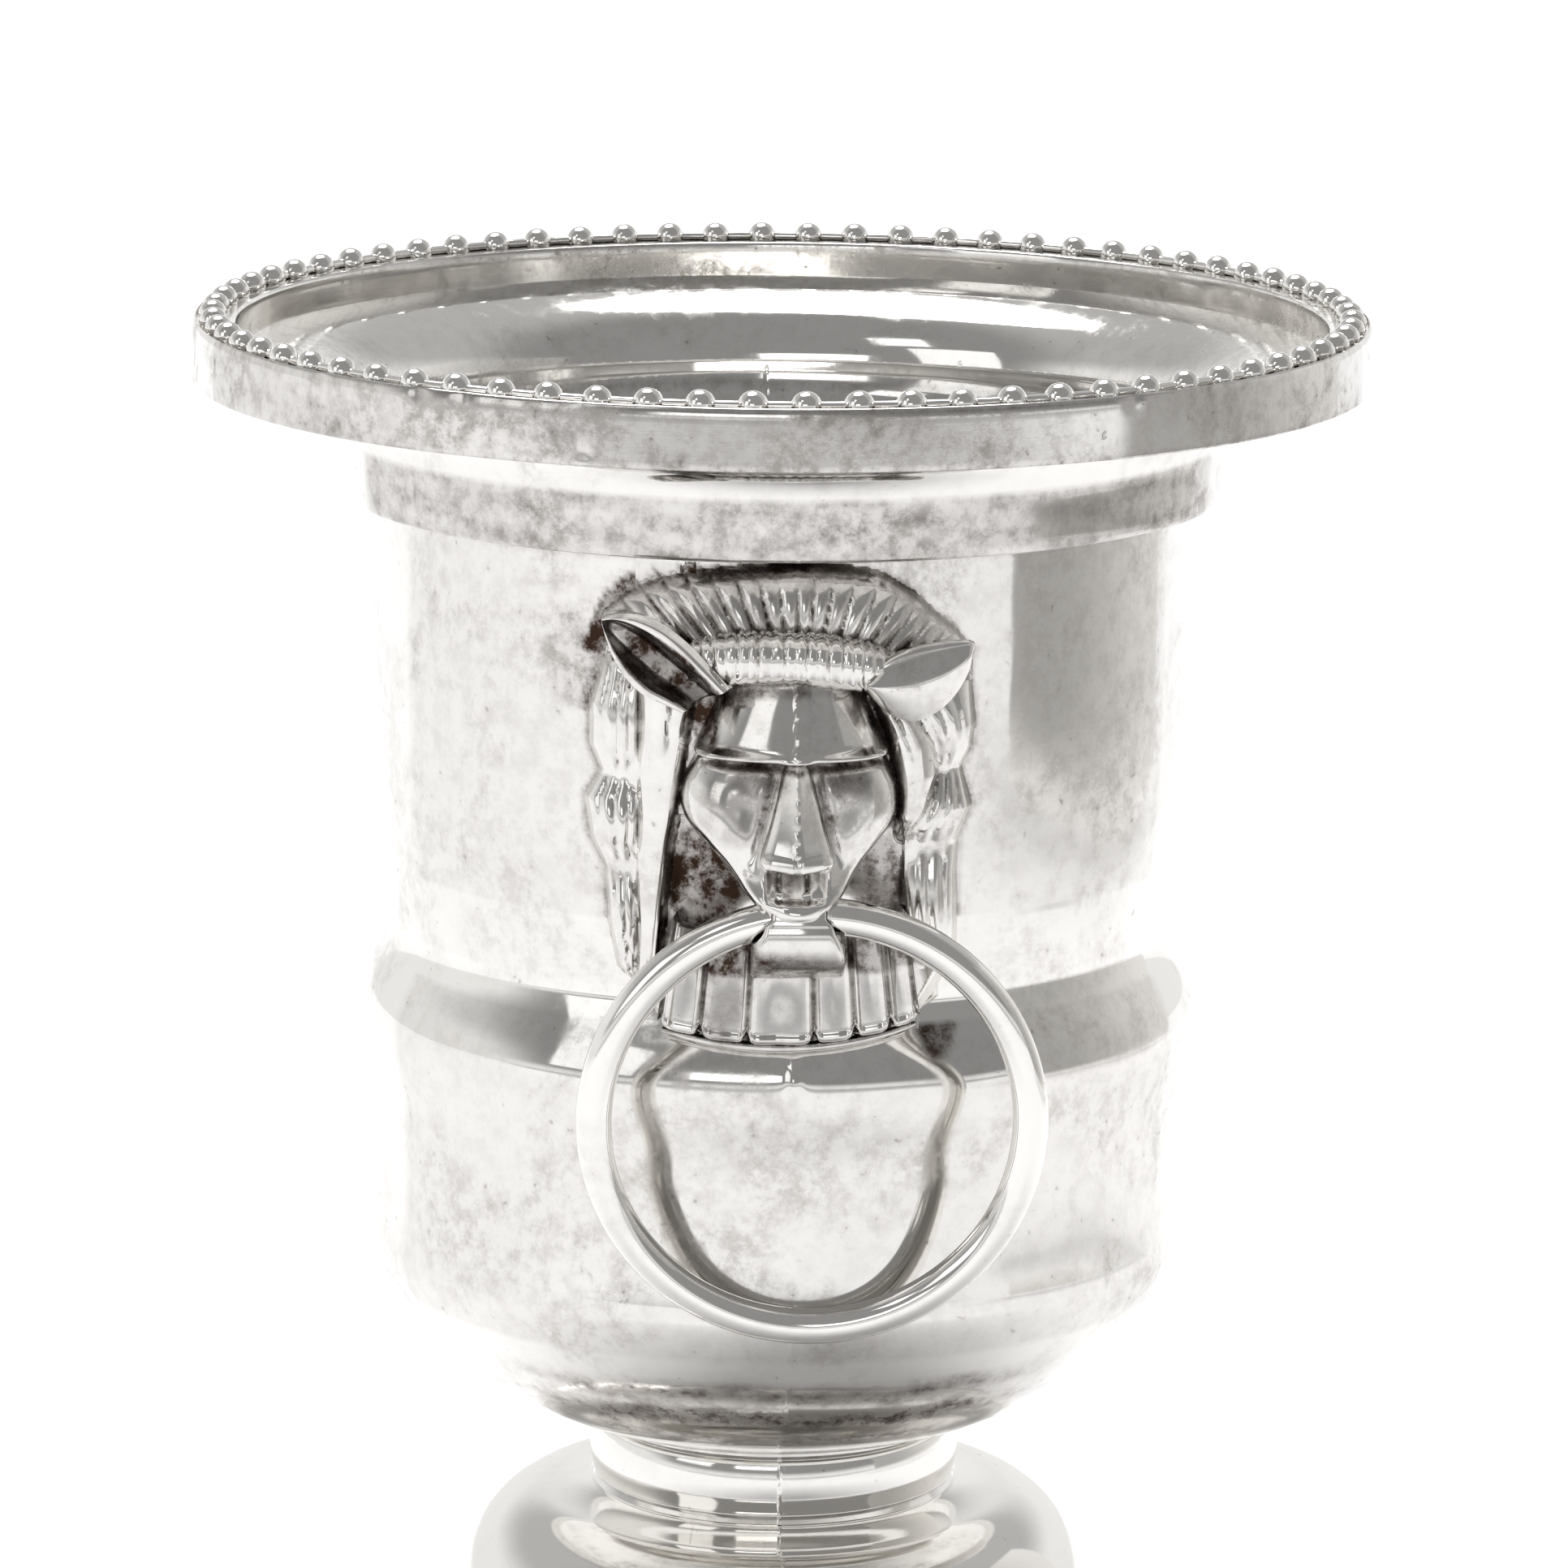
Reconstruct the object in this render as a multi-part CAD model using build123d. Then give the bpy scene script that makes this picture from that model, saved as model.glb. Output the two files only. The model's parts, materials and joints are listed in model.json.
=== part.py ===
"""Silver champagne bucket: a cast campana-shaped body with a beaded rim, two lion masks that carry
free-hanging ring handles, and a domed foot drawn up to the body by a hidden stud and nut.

Millimetres, +Z up. The origin is the centre of the circle that the foot stands on. The front mask
faces -Y and the back mask faces +Y."""

import os

from build123d import *

# Rim
RIM_RADIUS = 101.7        # outside of the upright rim band
RIM_INNER_RADIUS = 93.9   # inside of the mouth
RIM_BOTTOM = 243.9        # underside of the rim band
RIM_TOP = 253.6           # flat that the beads stand on
RIM_LIP = 254.3           # small raised edge outside the beads
LIP_RADIUS = 100.7        # foot of that edge, just clear of the beads
RIM_WALL = 1.6            # metal thickness of the rim channel
MOUTH_STEP = 247.5        # where the upright inner wall of the rim meets the flare

# Beads
BEAD_COUNT = 72
BEAD_CIRCLE = 98.0
BEAD_RADIUS = 2.5
BEAD_WIRE_RADIUS = 0.75
BEAD_CENTRE = 254.3

# Body
NECK_RADIUS = 70.8        # outside, just under the flare
FLARE_RADIUS = 77.4       # outside, at the step below the flare
STEP_TOP = 231.8
STEP_BOTTOM = 224.2
WAIST_RADIUS = 73.6       # the rounded moulding round the middle
WAIST_HEIGHT = 133.8
SHOULDER_RADIUS = 72.6    # where the wall turns into the bowl
SHOULDER_HEIGHT = 94.3
BOWL_BASE_RADIUS = 32.3
BOWL_BASE = 59.3
BOWL_FLOOR = 62.2
NECK_INNER_RADIUS = 68.4

# Stem and foot
STEM_RADIUS = 32.5
STEM_INNER_RADIUS = 28.0
FOOT_TOP = 47.0
FOOT_PLATE = 2.5
DOME_TOP_RADIUS = 41.2
DOME_TOP = 45.1
DOME_LOW_RADIUS = 60.3
DOME_LOW = 15.7
FOOT_RIM_RADIUS = 64.0
FOOT_RIM_TOP = 8.6
BASE_RADIUS = 66.5
BASE_INNER_RADIUS = 58.0
BASE_HEIGHT = 6.2

# Fastening of the foot
STUD_RADIUS = 4.0
STUD_END = 32.0
STUD_FLANGE_RADIUS = 14.0
STUD_FLANGE = 2.5
STUD_HOLE_RADIUS = 4.4
WASHER_RADIUS = 12.0
WASHER_THICKNESS = 1.6
NUT_ACROSS_FLATS = 13.0
NUT_HEIGHT = 6.5
THREAD_GAP = 0.02         # stands in for the thread's own play

# Ring handles
RING_RADIUS = 36.3        # centre line
WIRE_RADIUS = 3.05
PIVOT_OUT = 83.8          # lug bore's axis, measured out from the bucket's axis
PIVOT_HEIGHT = 166.5
RING_RISE = 0.7           # the ring's top stands this far above the bore's axis
RING_LEAN = 6.2           # degrees: the ring leans in and rests on the wall
FRONT_RING_SHIFT = 2.8    # the front ring has slipped sideways in its lug
BORE_RADIUS = 4.25

# Lion masks
LUG_HALF_WIDTH = 7.3
MANE_RELIEF = 74.8        # outer radius of the flat locks
CROWN_RELIEF = 78.0       # outer radius of the upper fan of hair
BIB_RELIEF = 75.6         # outer radius of the collar of petals
FACE_BACK = 66.0
FACE_FRONT = 84.0
NOSE_TIP = 89.6
MASK_REACH = 100.0


def turned(outline):
    """Turn a closed outline, drawn with X as radius and Y as height, about the vertical axis."""
    return revolve(Plane.XZ * make_face(outline), Axis.Z, 360)


def tube(inner, outer, low, high):
    """An upright tube between two radii and two heights."""
    height = high - low
    ring = Cylinder(outer, height) - Cylinder(inner, height)
    return Pos(0, 0, low + height / 2) * ring


def outer_wall():
    """The body's outer line, from the rim band's underside down to the bowl's base."""
    line = Line((RIM_RADIUS - RIM_WALL, RIM_BOTTOM), (95.1, RIM_BOTTOM))
    line += Bezier((95.1, RIM_BOTTOM), (83.0, RIM_BOTTOM), (FLARE_RADIUS, 240.0), (FLARE_RADIUS, STEP_TOP))
    line += Polyline((FLARE_RADIUS, STEP_TOP), (77.0, 225.4), (76.0, 224.6), (NECK_RADIUS, STEP_BOTTOM))
    line += Bezier((NECK_RADIUS, STEP_BOTTOM), (70.7, 190.0), (70.9, 172.0), (68.4, 148.5))
    line += Bezier((68.4, 148.5), (69.2, 143.5), (WAIST_RADIUS, 139.5), (WAIST_RADIUS, WAIST_HEIGHT))
    line += Bezier((WAIST_RADIUS, WAIST_HEIGHT), (WAIST_RADIUS, 128.5), (71.5, 123.5), (71.5, 117.6))
    line += Bezier((71.5, 117.6), (71.3, 109.0), (71.7, 101.0), (SHOULDER_RADIUS, SHOULDER_HEIGHT))
    line += Bezier((SHOULDER_RADIUS, SHOULDER_HEIGHT), (72.0, 87.2), (60.3, 67.1), (BOWL_BASE_RADIUS, 59.8))
    line += Polyline((BOWL_BASE_RADIUS, 59.8), (BOWL_BASE_RADIUS, BOWL_BASE), (0, BOWL_BASE))
    return line


def inner_wall():
    """The body's inner line, from the bowl's floor up to the seat of the rim channel."""
    line = Line((0, BOWL_BASE), (0, BOWL_FLOOR))
    line += Bezier((0, BOWL_FLOOR), (40.0, BOWL_FLOOR), (68.4, 76.0), (69.6, 96.0))
    line += Line((69.6, 96.0), (69.0, 133.0))
    line += Bezier((69.0, 133.0), (69.0, 139.0), (66.2, 143.0), (66.2, 148.5))
    line += Bezier((66.2, 148.5), (68.4, 165.0), (68.4, 190.0), (NECK_INNER_RADIUS, 218.0))
    line += Bezier((NECK_INNER_RADIUS, 218.0), (68.4, 226.0), (75.0, 226.5), (75.0, 233.0))
    line += Bezier((75.0, 233.0), (75.0, 241.5), (82.5, 246.5), (RIM_INNER_RADIUS, MOUTH_STEP))
    line += Polyline(
        (RIM_INNER_RADIUS, MOUTH_STEP),
        (RIM_INNER_RADIUS + RIM_WALL, MOUTH_STEP),
        (97.0, RIM_BOTTOM + RIM_WALL),
        (RIM_RADIUS - RIM_WALL, RIM_BOTTOM + RIM_WALL),
        (RIM_RADIUS - RIM_WALL, RIM_BOTTOM),
    )
    return line


def bucket_body():
    """Flare, neck, waist moulding, wall and bowl, in one casting."""
    return turned(outer_wall() + inner_wall())


def body_core():
    """The body filled in: what any piece soldered to the outside has to stay clear of."""
    return turned(outer_wall() + Polyline((0, BOWL_BASE), (0, RIM_BOTTOM), (RIM_RADIUS - RIM_WALL, RIM_BOTTOM)))


def rim_border():
    """The channel that caps the flare: upright band, flat top and short inner wall."""
    outer = RIM_RADIUS - RIM_WALL
    inner = RIM_INNER_RADIUS + RIM_WALL
    under = RIM_TOP - RIM_WALL
    outline = Polyline(
        (RIM_INNER_RADIUS, RIM_TOP - 0.6),
        (RIM_INNER_RADIUS, MOUTH_STEP),
        (inner, MOUTH_STEP),
        (inner, under),
        (outer, under),
        (outer, RIM_BOTTOM),
        (RIM_RADIUS, RIM_BOTTOM),
        (RIM_RADIUS, RIM_TOP - 1.1),
    )
    outline += ThreePointArc((RIM_RADIUS, RIM_TOP - 1.1), (101.45, 253.8), (100.95, RIM_LIP))
    outline += Polyline((100.95, RIM_LIP), (LIP_RADIUS, RIM_TOP), (RIM_INNER_RADIUS + 0.6, RIM_TOP))
    outline += Line((RIM_INNER_RADIUS + 0.6, RIM_TOP), (RIM_INNER_RADIUS, RIM_TOP - 0.6))
    return turned(outline)


def rim_beads():
    """The beaded wire on the rim: round beads on a thin wire, flat where it is soldered down."""
    beads = PolarLocations(BEAD_CIRCLE, BEAD_COUNT) * Sphere(BEAD_RADIUS)
    wire = Torus(BEAD_CIRCLE, BEAD_WIRE_RADIUS)
    string = Pos(0, 0, BEAD_CENTRE) * (wire + beads)
    below = Pos(0, 0, RIM_TOP - 5) * Cylinder(RIM_RADIUS + 5, 10)
    return string - below


def stem_collar():
    """The short waisted collar between the bowl and the foot."""
    outline = Polyline(
        (31.8, 48.6),
        (31.1, 47.9),
        (31.9, FOOT_TOP),
        (STEM_INNER_RADIUS, FOOT_TOP),
        (STEM_INNER_RADIUS, BOWL_BASE),
        (31.6, BOWL_BASE),
        (30.9, 58.7),
        (31.8, 57.8),
    )
    outline += ThreePointArc((31.8, 57.8), (STEM_RADIUS, 53.4), (31.8, 48.6))
    return turned(outline)


def foot_dome():
    """The hollow domed foot, with a flat top plate that the stud passes through."""
    under = FOOT_TOP - FOOT_PLATE
    outline = Line((STUD_HOLE_RADIUS, FOOT_TOP), (31.9, FOOT_TOP))
    outline += Bezier((31.9, FOOT_TOP), (33.5, 45.6), (36.5, 45.2), (DOME_TOP_RADIUS, DOME_TOP))
    outline += Bezier((DOME_TOP_RADIUS, DOME_TOP), (52.9, 44.1), (57.8, 31.4), (DOME_LOW_RADIUS, DOME_LOW))
    outline += Bezier((DOME_LOW_RADIUS, DOME_LOW), (60.9, 11.5), (61.8, 9.5), (FOOT_RIM_RADIUS, FOOT_RIM_TOP))
    outline += Polyline((FOOT_RIM_RADIUS, FOOT_RIM_TOP), (FOOT_RIM_RADIUS, BASE_HEIGHT), (60.6, BASE_HEIGHT))
    outline += Bezier((60.6, BASE_HEIGHT), (59.4, 9.0), (58.4, 12.0), (57.8, DOME_LOW))
    outline += Bezier((57.8, DOME_LOW), (55.4, 30.5), (51.0, 41.6), (41.0, 42.6))
    outline += Bezier((41.0, 42.6), (38.0, 42.7), (34.0, 42.8), (30.0, under))
    outline += Polyline((30.0, under), (STUD_HOLE_RADIUS, under), (STUD_HOLE_RADIUS, FOOT_TOP))
    return turned(outline)


def base_ring():
    """The rounded ring that the bucket stands on."""
    outline = Polyline((65.3, BASE_HEIGHT), (BASE_INNER_RADIUS, BASE_HEIGHT), (BASE_INNER_RADIUS, 0), (65.3, 0))
    outline += ThreePointArc((65.3, 0), (BASE_RADIUS, BASE_HEIGHT / 2), (65.3, BASE_HEIGHT))
    return turned(outline)


def stem_stud():
    """The threaded stud, on a flange soldered under the bowl."""
    shank = Pos(0, 0, (STUD_END + BOWL_BASE) / 2) * Cylinder(STUD_RADIUS, BOWL_BASE - STUD_END)
    flange = Pos(0, 0, BOWL_BASE - STUD_FLANGE / 2) * Cylinder(STUD_FLANGE_RADIUS, STUD_FLANGE)
    return shank + flange


def foot_washer():
    """The washer inside the foot, under its top plate."""
    top = FOOT_TOP - FOOT_PLATE
    return tube(STUD_HOLE_RADIUS, WASHER_RADIUS, top - WASHER_THICKNESS, top)


def foot_nut():
    """The hexagon nut that draws the foot and collar up against the bowl."""
    top = FOOT_TOP - FOOT_PLATE - WASHER_THICKNESS
    hexagon = RegularPolygon(NUT_ACROSS_FLATS / 2, 6, major_radius=False)
    nut = Pos(0, 0, top - NUT_HEIGHT) * extrude(hexagon, NUT_HEIGHT)
    return nut - Pos(0, 0, top - NUT_HEIGHT / 2) * Cylinder(STUD_RADIUS + THREAD_GAP, NUT_HEIGHT)


def mirrored_outline(half):
    """Close a right-hand half outline, given from the top centre to the bottom centre, across X = 0."""
    left = [(-x, z) for x, z in reversed(half[1:-1])]
    return half + left


def relief(outline, radius):
    """A flat outline seen from the front, thickened out to a cylinder about the bucket's axis."""
    block = extrude(Plane.XZ * make_face(outline), MASK_REACH)
    skin = Pos(0, 0, 180) * Cylinder(radius, 120)
    return block & skin


def mane():
    """The flat locks of the mane, down both sides of the face and across below it."""
    half = [(0, 222.0), (13, 221.0), (24.5, 216.0), (30.5, 209.5), (33.4, 198.0), (31.8, 187.5),
            (33.8, 180.0), (31.4, 171.0), (29.2, 153.5), (21.5, 149.0), (0, 148.0)]
    return relief(Spline(*mirrored_outline(half), periodic=True), MANE_RELIEF)


def bib():
    """The collar of petals below the chin."""
    top = Polyline((22.0, 145.9), (22.5, 156.5), (-22.5, 156.5), (-22.0, 145.9))
    return relief(top + ThreePointArc((-22.0, 145.9), (0, 142.3), (22.0, 145.9)), BIB_RELIEF)


def crown():
    """The fan of hair over the head, with the rolled fringe in front of it."""
    half = [(0, 223.6), (13, 221.6), (23.5, 215.0), (27.0, 207.0), (16.0, 201.0), (0, 200.0)]
    fan = relief(Spline(*mirrored_outline(half), periodic=True), CROWN_RELIEF)
    arc = Plane.XZ.offset(77.5) * ThreePointArc((-19, 203.5), (0, 209.3), (19, 203.5))
    fringe = sweep(Plane(origin=arc @ 0, z_dir=arc % 0) * Circle(5.2), arc)
    return fan + fringe


def ear(side):
    """One leaf-shaped ear, pointing up and out; side is -1 or 1."""
    leaf = scale(Sphere(1), by=(10.4, 4.6, 5.0))
    return Pos(side * 21.5, -76.3, 208.0) * Rot(0, -side * 24, 0) * Rot(0, 0, side * 14) * leaf


def face():
    """Forehead, cheeks and muzzle, narrowing towards the front."""
    half = [(0, 205.0), (13.0, 203.5), (16.4, 193.0), (18.3, 184.0), (12.6, 175.6), (7.2, 168.6), (0, 167.8)]
    front = [(x * 0.72, 184.0 + (z - 184.0) * 0.86) for x, z in half]
    back_face = Plane.XZ.offset(FACE_BACK) * make_face(Polyline(*mirrored_outline(half), close=True))
    front_face = Plane.XZ.offset(FACE_FRONT) * make_face(Polyline(*mirrored_outline(front), close=True))
    return loft([back_face, front_face])


def nose_and_chin():
    """The ridge of the nose and the short blunt chin, as one wedge seen from the side."""
    side_view = Polyline((-74, 194), (-84.6, 193), (-NOSE_TIP, 178), (-87.4, 175.4), (-88.6, 169.5),
                         (-86.0, 167.6), (-74, 168), close=True)
    wedge = Plane.YZ * make_face(side_view)
    return extrude(wedge, 5.2, both=True)


def lug():
    """The tongue under the chin, curling back to the collar round the ring's wire."""
    side_view = Polyline((-70, 172), (-70, 156.0), (-79.0, 155.6))
    side_view += ThreePointArc((-79.0, 155.6), (-87.6, 159.4), (-90.5, 167.0))
    side_view += Polyline((-90.5, 167.0), (-89.6, 170.5), (-86.0, 172.5), (-70, 172))
    return extrude(Plane.YZ * make_face(side_view), LUG_HALF_WIDTH, both=True)


def lion_mask():
    """The front mask: relief work on the wall, with the bore that the ring hangs in."""
    head = mane() + bib() + crown() + face() + nose_and_chin() + lug()
    head = head + ear(-1) + ear(1)
    bore = Pos(0, -PIVOT_OUT, PIVOT_HEIGHT) * Rot(0, 90, 0) * Cylinder(BORE_RADIUS, 60)
    return head - body_core() - bore


def ring_handle(shift):
    """The front ring handle at rest: hanging from the lug and leaning on the wall."""
    ring = Rot(90, 0, 0) * Torus(RING_RADIUS, WIRE_RADIUS)
    hung = Pos(shift, 0, RING_RISE - RING_RADIUS) * ring
    return Pos(0, -PIVOT_OUT, PIVOT_HEIGHT) * Rot(RING_LEAN, 0, 0) * hung


def turned_to_back(shape):
    """The same piece on the far side of the bucket."""
    return Rot(0, 0, 180) * shape


def main():
    """Build every piece and write one STEP file for each."""
    front_mask = lion_mask()
    pieces = {
        "bucket_body": bucket_body(),
        "rim_border": rim_border(),
        "rim_beads": rim_beads(),
        "lion_mask_front": front_mask,
        "lion_mask_back": turned_to_back(front_mask),
        "ring_handle_front": ring_handle(FRONT_RING_SHIFT),
        "ring_handle_back": turned_to_back(ring_handle(0)),
        "stem_collar": stem_collar(),
        "foot_dome": foot_dome(),
        "base_ring": base_ring(),
        "stem_stud": stem_stud(),
        "foot_washer": foot_washer(),
        "foot_nut": foot_nut(),
    }
    os.makedirs("parts", exist_ok=True)
    for name, shape in pieces.items():
        export_step(shape, f"parts/{name}.step")


main()
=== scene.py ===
"""The silver champagne bucket's finished surfaces: turned silver with its casting seam and wear,
a beaded rim, two carved lion masks and their free ring handles, on a pale studio floor.

Lengths in the shape functions are millimetres; a mesh is turned into metres when it is made.
A mask is drawn facing -Y. Its own coordinates are u (across), w (out from the bucket's axis) and z."""

import json
import math

import bmesh
import bpy
import numpy as np
from mathutils import Matrix, Vector


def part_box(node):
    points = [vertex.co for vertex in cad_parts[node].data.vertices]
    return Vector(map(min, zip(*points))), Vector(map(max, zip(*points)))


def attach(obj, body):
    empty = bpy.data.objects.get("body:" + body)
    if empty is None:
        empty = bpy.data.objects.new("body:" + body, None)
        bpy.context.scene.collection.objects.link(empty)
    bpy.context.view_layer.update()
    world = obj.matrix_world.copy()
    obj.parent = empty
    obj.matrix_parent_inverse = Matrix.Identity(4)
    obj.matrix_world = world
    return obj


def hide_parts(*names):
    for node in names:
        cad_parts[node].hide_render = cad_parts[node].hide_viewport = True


bl_info = {
    "name": "Champagne Bucket",
    "version": (1, 0, 0),
    "blender": (4, 5, 0),
    "location": "View3D > Sidebar > Bucket",
    "description": "Builds the silver surfaces of a lion-mask champagne bucket round its packed model",
    "category": "Add Mesh",
}

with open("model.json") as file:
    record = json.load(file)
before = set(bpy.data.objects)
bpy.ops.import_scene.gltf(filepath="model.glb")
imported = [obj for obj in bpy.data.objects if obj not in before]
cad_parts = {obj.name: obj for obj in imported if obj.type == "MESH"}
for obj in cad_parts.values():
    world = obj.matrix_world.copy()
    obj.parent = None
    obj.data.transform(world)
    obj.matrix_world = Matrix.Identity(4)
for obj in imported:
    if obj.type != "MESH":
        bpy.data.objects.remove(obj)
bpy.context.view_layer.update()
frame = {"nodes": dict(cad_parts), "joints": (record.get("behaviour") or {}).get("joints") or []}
MM = 0.001
JOINTS = {joint["name"]: joint for joint in frame["joints"]}
RIM_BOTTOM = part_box("rim_border")[0].z / MM
BEAD_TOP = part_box("rim_beads")[1].z / MM
RIM_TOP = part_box("rim_beads")[0].z / MM
BOWL_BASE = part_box("bucket_body")[0].z / MM
FOOT_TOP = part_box("foot_dome")[1].z / MM
BASE_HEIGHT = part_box("base_ring")[1].z / MM
BASE_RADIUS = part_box("base_ring")[1].x / MM
PIVOT_OUT = -JOINTS["front_ring_swing"]["pos_m"][1] / MM
PIVOT_HEIGHT = JOINTS["front_ring_swing"]["pos_m"][2] / MM


# ---------------------------------------------------------------------------------------------
# Settings
# ---------------------------------------------------------------------------------------------


def length_setting(name, text, value, low, high):
    """A length property in millimetres."""
    return bpy.props.FloatProperty(name=name, description=text, default=value, min=low, max=high)


def colour_setting(name, text, value):
    """A colour property."""
    return bpy.props.FloatVectorProperty(
        name=name, description=text, default=value, size=3, min=0.0, max=1.0, subtype="COLOR"
    )


class BucketShape(bpy.types.PropertyGroup):
    """Sizes of the ornament, in millimetres."""

    bead_count: bpy.props.IntProperty(
        name="Beads", description="How many beads stand round the rim", default=72, min=24, max=120
    )
    bead_radius: length_setting("Bead radius", "Radius of one rim bead", 2.5, 0.5, 3.0)
    wire_radius: length_setting("Bead wire", "Radius of the wire between two beads", 0.75, 0.2, 1.5)
    seam_height: length_setting("Seam", "How far the casting seam stands up", 0.32, 0.0, 1.0)
    ripple: length_setting("Ripple", "How far the hand-finished wall wanders in and out", 0.07, 0.0, 0.5)


class SilverFinish(bpy.types.PropertyGroup):
    """Colours and wear of the silver."""

    silver: colour_setting("Silver", "Colour of clean silver plate", (0.85, 0.835, 0.81))
    cloudy: colour_setting("Cloudy silver", "Colour of the dull satin patches", (0.56, 0.54, 0.51))
    # also the colour given to the painted shade under the bowl and on a petal of each mask
    tarnish_and_shade_colour: colour_setting("Tarnish and Shade Colour", "Colour of the tarnish in the recesses", (0.055, 0.032, 0.022))
    brass: colour_setting("Brass", "Colour of the bare fastenings", (0.72, 0.55, 0.28))
    polish: bpy.props.FloatProperty(
        name="Polish", description="Roughness of clean silver", default=0.055, min=0.0, max=1.0,
        subtype="FACTOR"
    )


class StudioLight(bpy.types.PropertyGroup):
    """The stage and its light."""

    floor: colour_setting("Floor", "Colour of the pale floor", (0.93, 0.93, 0.94))
    walls: bpy.props.FloatProperty(
        name="Walls", description="Brightness of the surroundings", default=0.95, min=0.0, max=10.0
    )
    ceiling: bpy.props.FloatProperty(
        name="Ceiling", description="Brightness high up on the camera's side", default=0.31,
        min=0.0, max=10.0
    )
    key: bpy.props.FloatProperty(
        name="Overhead", description="Strength of the broad light overhead", default=2.85, min=0.0, max=20.0
    )
    window: bpy.props.FloatProperty(
        name="Windows", description="Power of the right window, which the other windows follow",
        default=2.6, min=0.0, subtype="POWER"
    )


# ---------------------------------------------------------------------------------------------
# Lines and surfaces
# ---------------------------------------------------------------------------------------------


def line(start, end, count=2):
    """Points spaced evenly on a straight line, both ends included."""
    step = np.linspace(0.0, 1.0, count)[:, None]
    return np.asarray(start, float) * (1 - step) + np.asarray(end, float) * step


def bezier(a, b, c, d, count=20):
    """Points on a cubic Bezier curve: each control point weighted by its Bernstein polynomial."""
    t = np.linspace(0.0, 1.0, count)[:, None]
    a, b, c, d = (np.asarray(p, float) for p in (a, b, c, d))
    return a * (1 - t) ** 3 + b * 3 * t * (1 - t) ** 2 + c * 3 * t**2 * (1 - t) + d * t**3


def arc(start, middle, end, count=12):
    """Points on the quadratic curve that passes through the three given points."""
    start, middle, end = (np.asarray(p, float) for p in (start, middle, end))
    control = 2 * middle - (start + end) / 2
    t = np.linspace(0.0, 1.0, count)[:, None]
    return start * (1 - t) ** 2 + control * 2 * t * (1 - t) + end * t**2


def joined(*stretches):
    """Stretches of a line end to end, each leaving out its first point if it repeats the last one."""
    parts = [stretches[0]]
    for stretch in stretches[1:]:
        repeated = np.allclose(stretch[0], parts[-1][-1], atol=1e-6)
        parts.append(stretch[1:] if repeated else stretch)
    return np.concatenate(parts)


def smooth_step(low, high, value):
    """0 below low, 1 above high and a cubic ease between them."""
    t = np.clip((value - low) / (high - low), 0.0, 1.0)
    return t * t * (3 - 2 * t)


def hump(value, centre, width):
    """A bell curve of height 1 round centre."""
    return np.exp(-(((value - centre) / width) ** 2))


def read_off(table, value):
    """The second column of a table, read off at a value of its first."""
    return np.interp(value, *zip(*table))


def quads(rows, columns, wrap_rows=False, wrap_columns=False):
    """Corner numbers of the quads of a grid whose vertices are numbered row by row."""
    index = np.arange(rows * columns).reshape(rows, columns)
    if wrap_rows:
        index = np.concatenate([index, index[:1]])
    if wrap_columns:
        index = np.concatenate([index, index[:, :1]], axis=1)
    corners = (index[:-1, :-1], index[:-1, 1:], index[1:, 1:], index[1:, :-1])
    return np.stack([corner.ravel() for corner in corners], axis=1)


def outward(points, faces):
    """The faces of a closed surface, turned round if the volume they enclose comes out negative."""
    a, b, c, d = (points[faces[:, k]] for k in range(4))
    volume = np.einsum("ij,ij->i", a, np.cross(b, c)) + np.einsum("ij,ij->i", a, np.cross(c, d))
    return faces if volume.sum() > 0 else faces[:, ::-1]


def turned(profile, angles, shift=None):
    """A closed profile of (radius, height) turned about Z: x = r cos a, y = r sin a.
    shift is a function of (angle, radius, height) giving how far each point moves out."""
    angle, radius = np.meshgrid(angles, profile[:, 0], indexing="ij")
    height = np.broadcast_to(profile[:, 1], angle.shape)
    if shift is not None:
        radius = np.where(radius > 0, radius + shift(angle, radius, height), radius)
    points = np.stack([radius * np.cos(angle), radius * np.sin(angle), height], axis=-1).reshape(-1, 3)
    faces = quads(len(angles), len(profile), wrap_rows=True, wrap_columns=True)
    return points, outward(points, faces)


def loft(sections):
    """A closed surface through closed sections, an array of (section, point, xyz). Each end section
    is closed by drawing it in to its own middle."""
    first, last = sections[0].mean(axis=0), sections[-1].mean(axis=0)
    ends = [np.broadcast_to(end, sections[0].shape)[None] for end in (first, last)]
    sections = np.concatenate([ends[0], sections, ends[1]])
    points = sections.reshape(-1, 3)
    faces = quads(sections.shape[0], sections.shape[1], wrap_columns=True)
    return points, outward(points, faces)


def together(*surfaces):
    """Several surfaces as one list of points and one of faces."""
    points, faces, start = [], [], 0
    for some_points, some_faces in surfaces:
        points.append(some_points)
        faces.append(some_faces + start)
        start += len(some_points)
    return np.concatenate(points), np.concatenate(faces)


def make_piece(name, surface, body, material, stands_for=(), sharp=math.radians(38)):
    """One finished mesh in the bucket's frame: doubled points merged, smooth but for its sharp edges."""
    points, faces = surface
    mesh = bpy.data.meshes.new(name)
    mesh.from_pydata((points * MM).tolist(), [], faces.tolist())
    mesh.validate()
    merge_doubles(mesh)
    mesh.polygons.foreach_set("use_smooth", np.ones(len(mesh.polygons), bool))
    mesh.set_sharp_from_angle(angle=sharp)
    mesh.materials.append(material)
    piece = bpy.data.objects.new(name, mesh)
    bpy.context.scene.collection.objects.link(piece)
    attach(piece, body)
    if stands_for:
        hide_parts(*stands_for)
    return piece


def merge_doubles(mesh):
    """Close poles and seams by merging points closer than two micrometres."""
    work = bmesh.new()
    work.from_mesh(mesh)
    bmesh.ops.remove_doubles(work, verts=work.verts, dist=2e-6)
    bmesh.ops.dissolve_degenerate(work, edges=work.edges, dist=1e-7)
    work.to_mesh(mesh)
    work.free()
    mesh.update()


# ---------------------------------------------------------------------------------------------
# Turned pieces
# ---------------------------------------------------------------------------------------------

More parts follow.
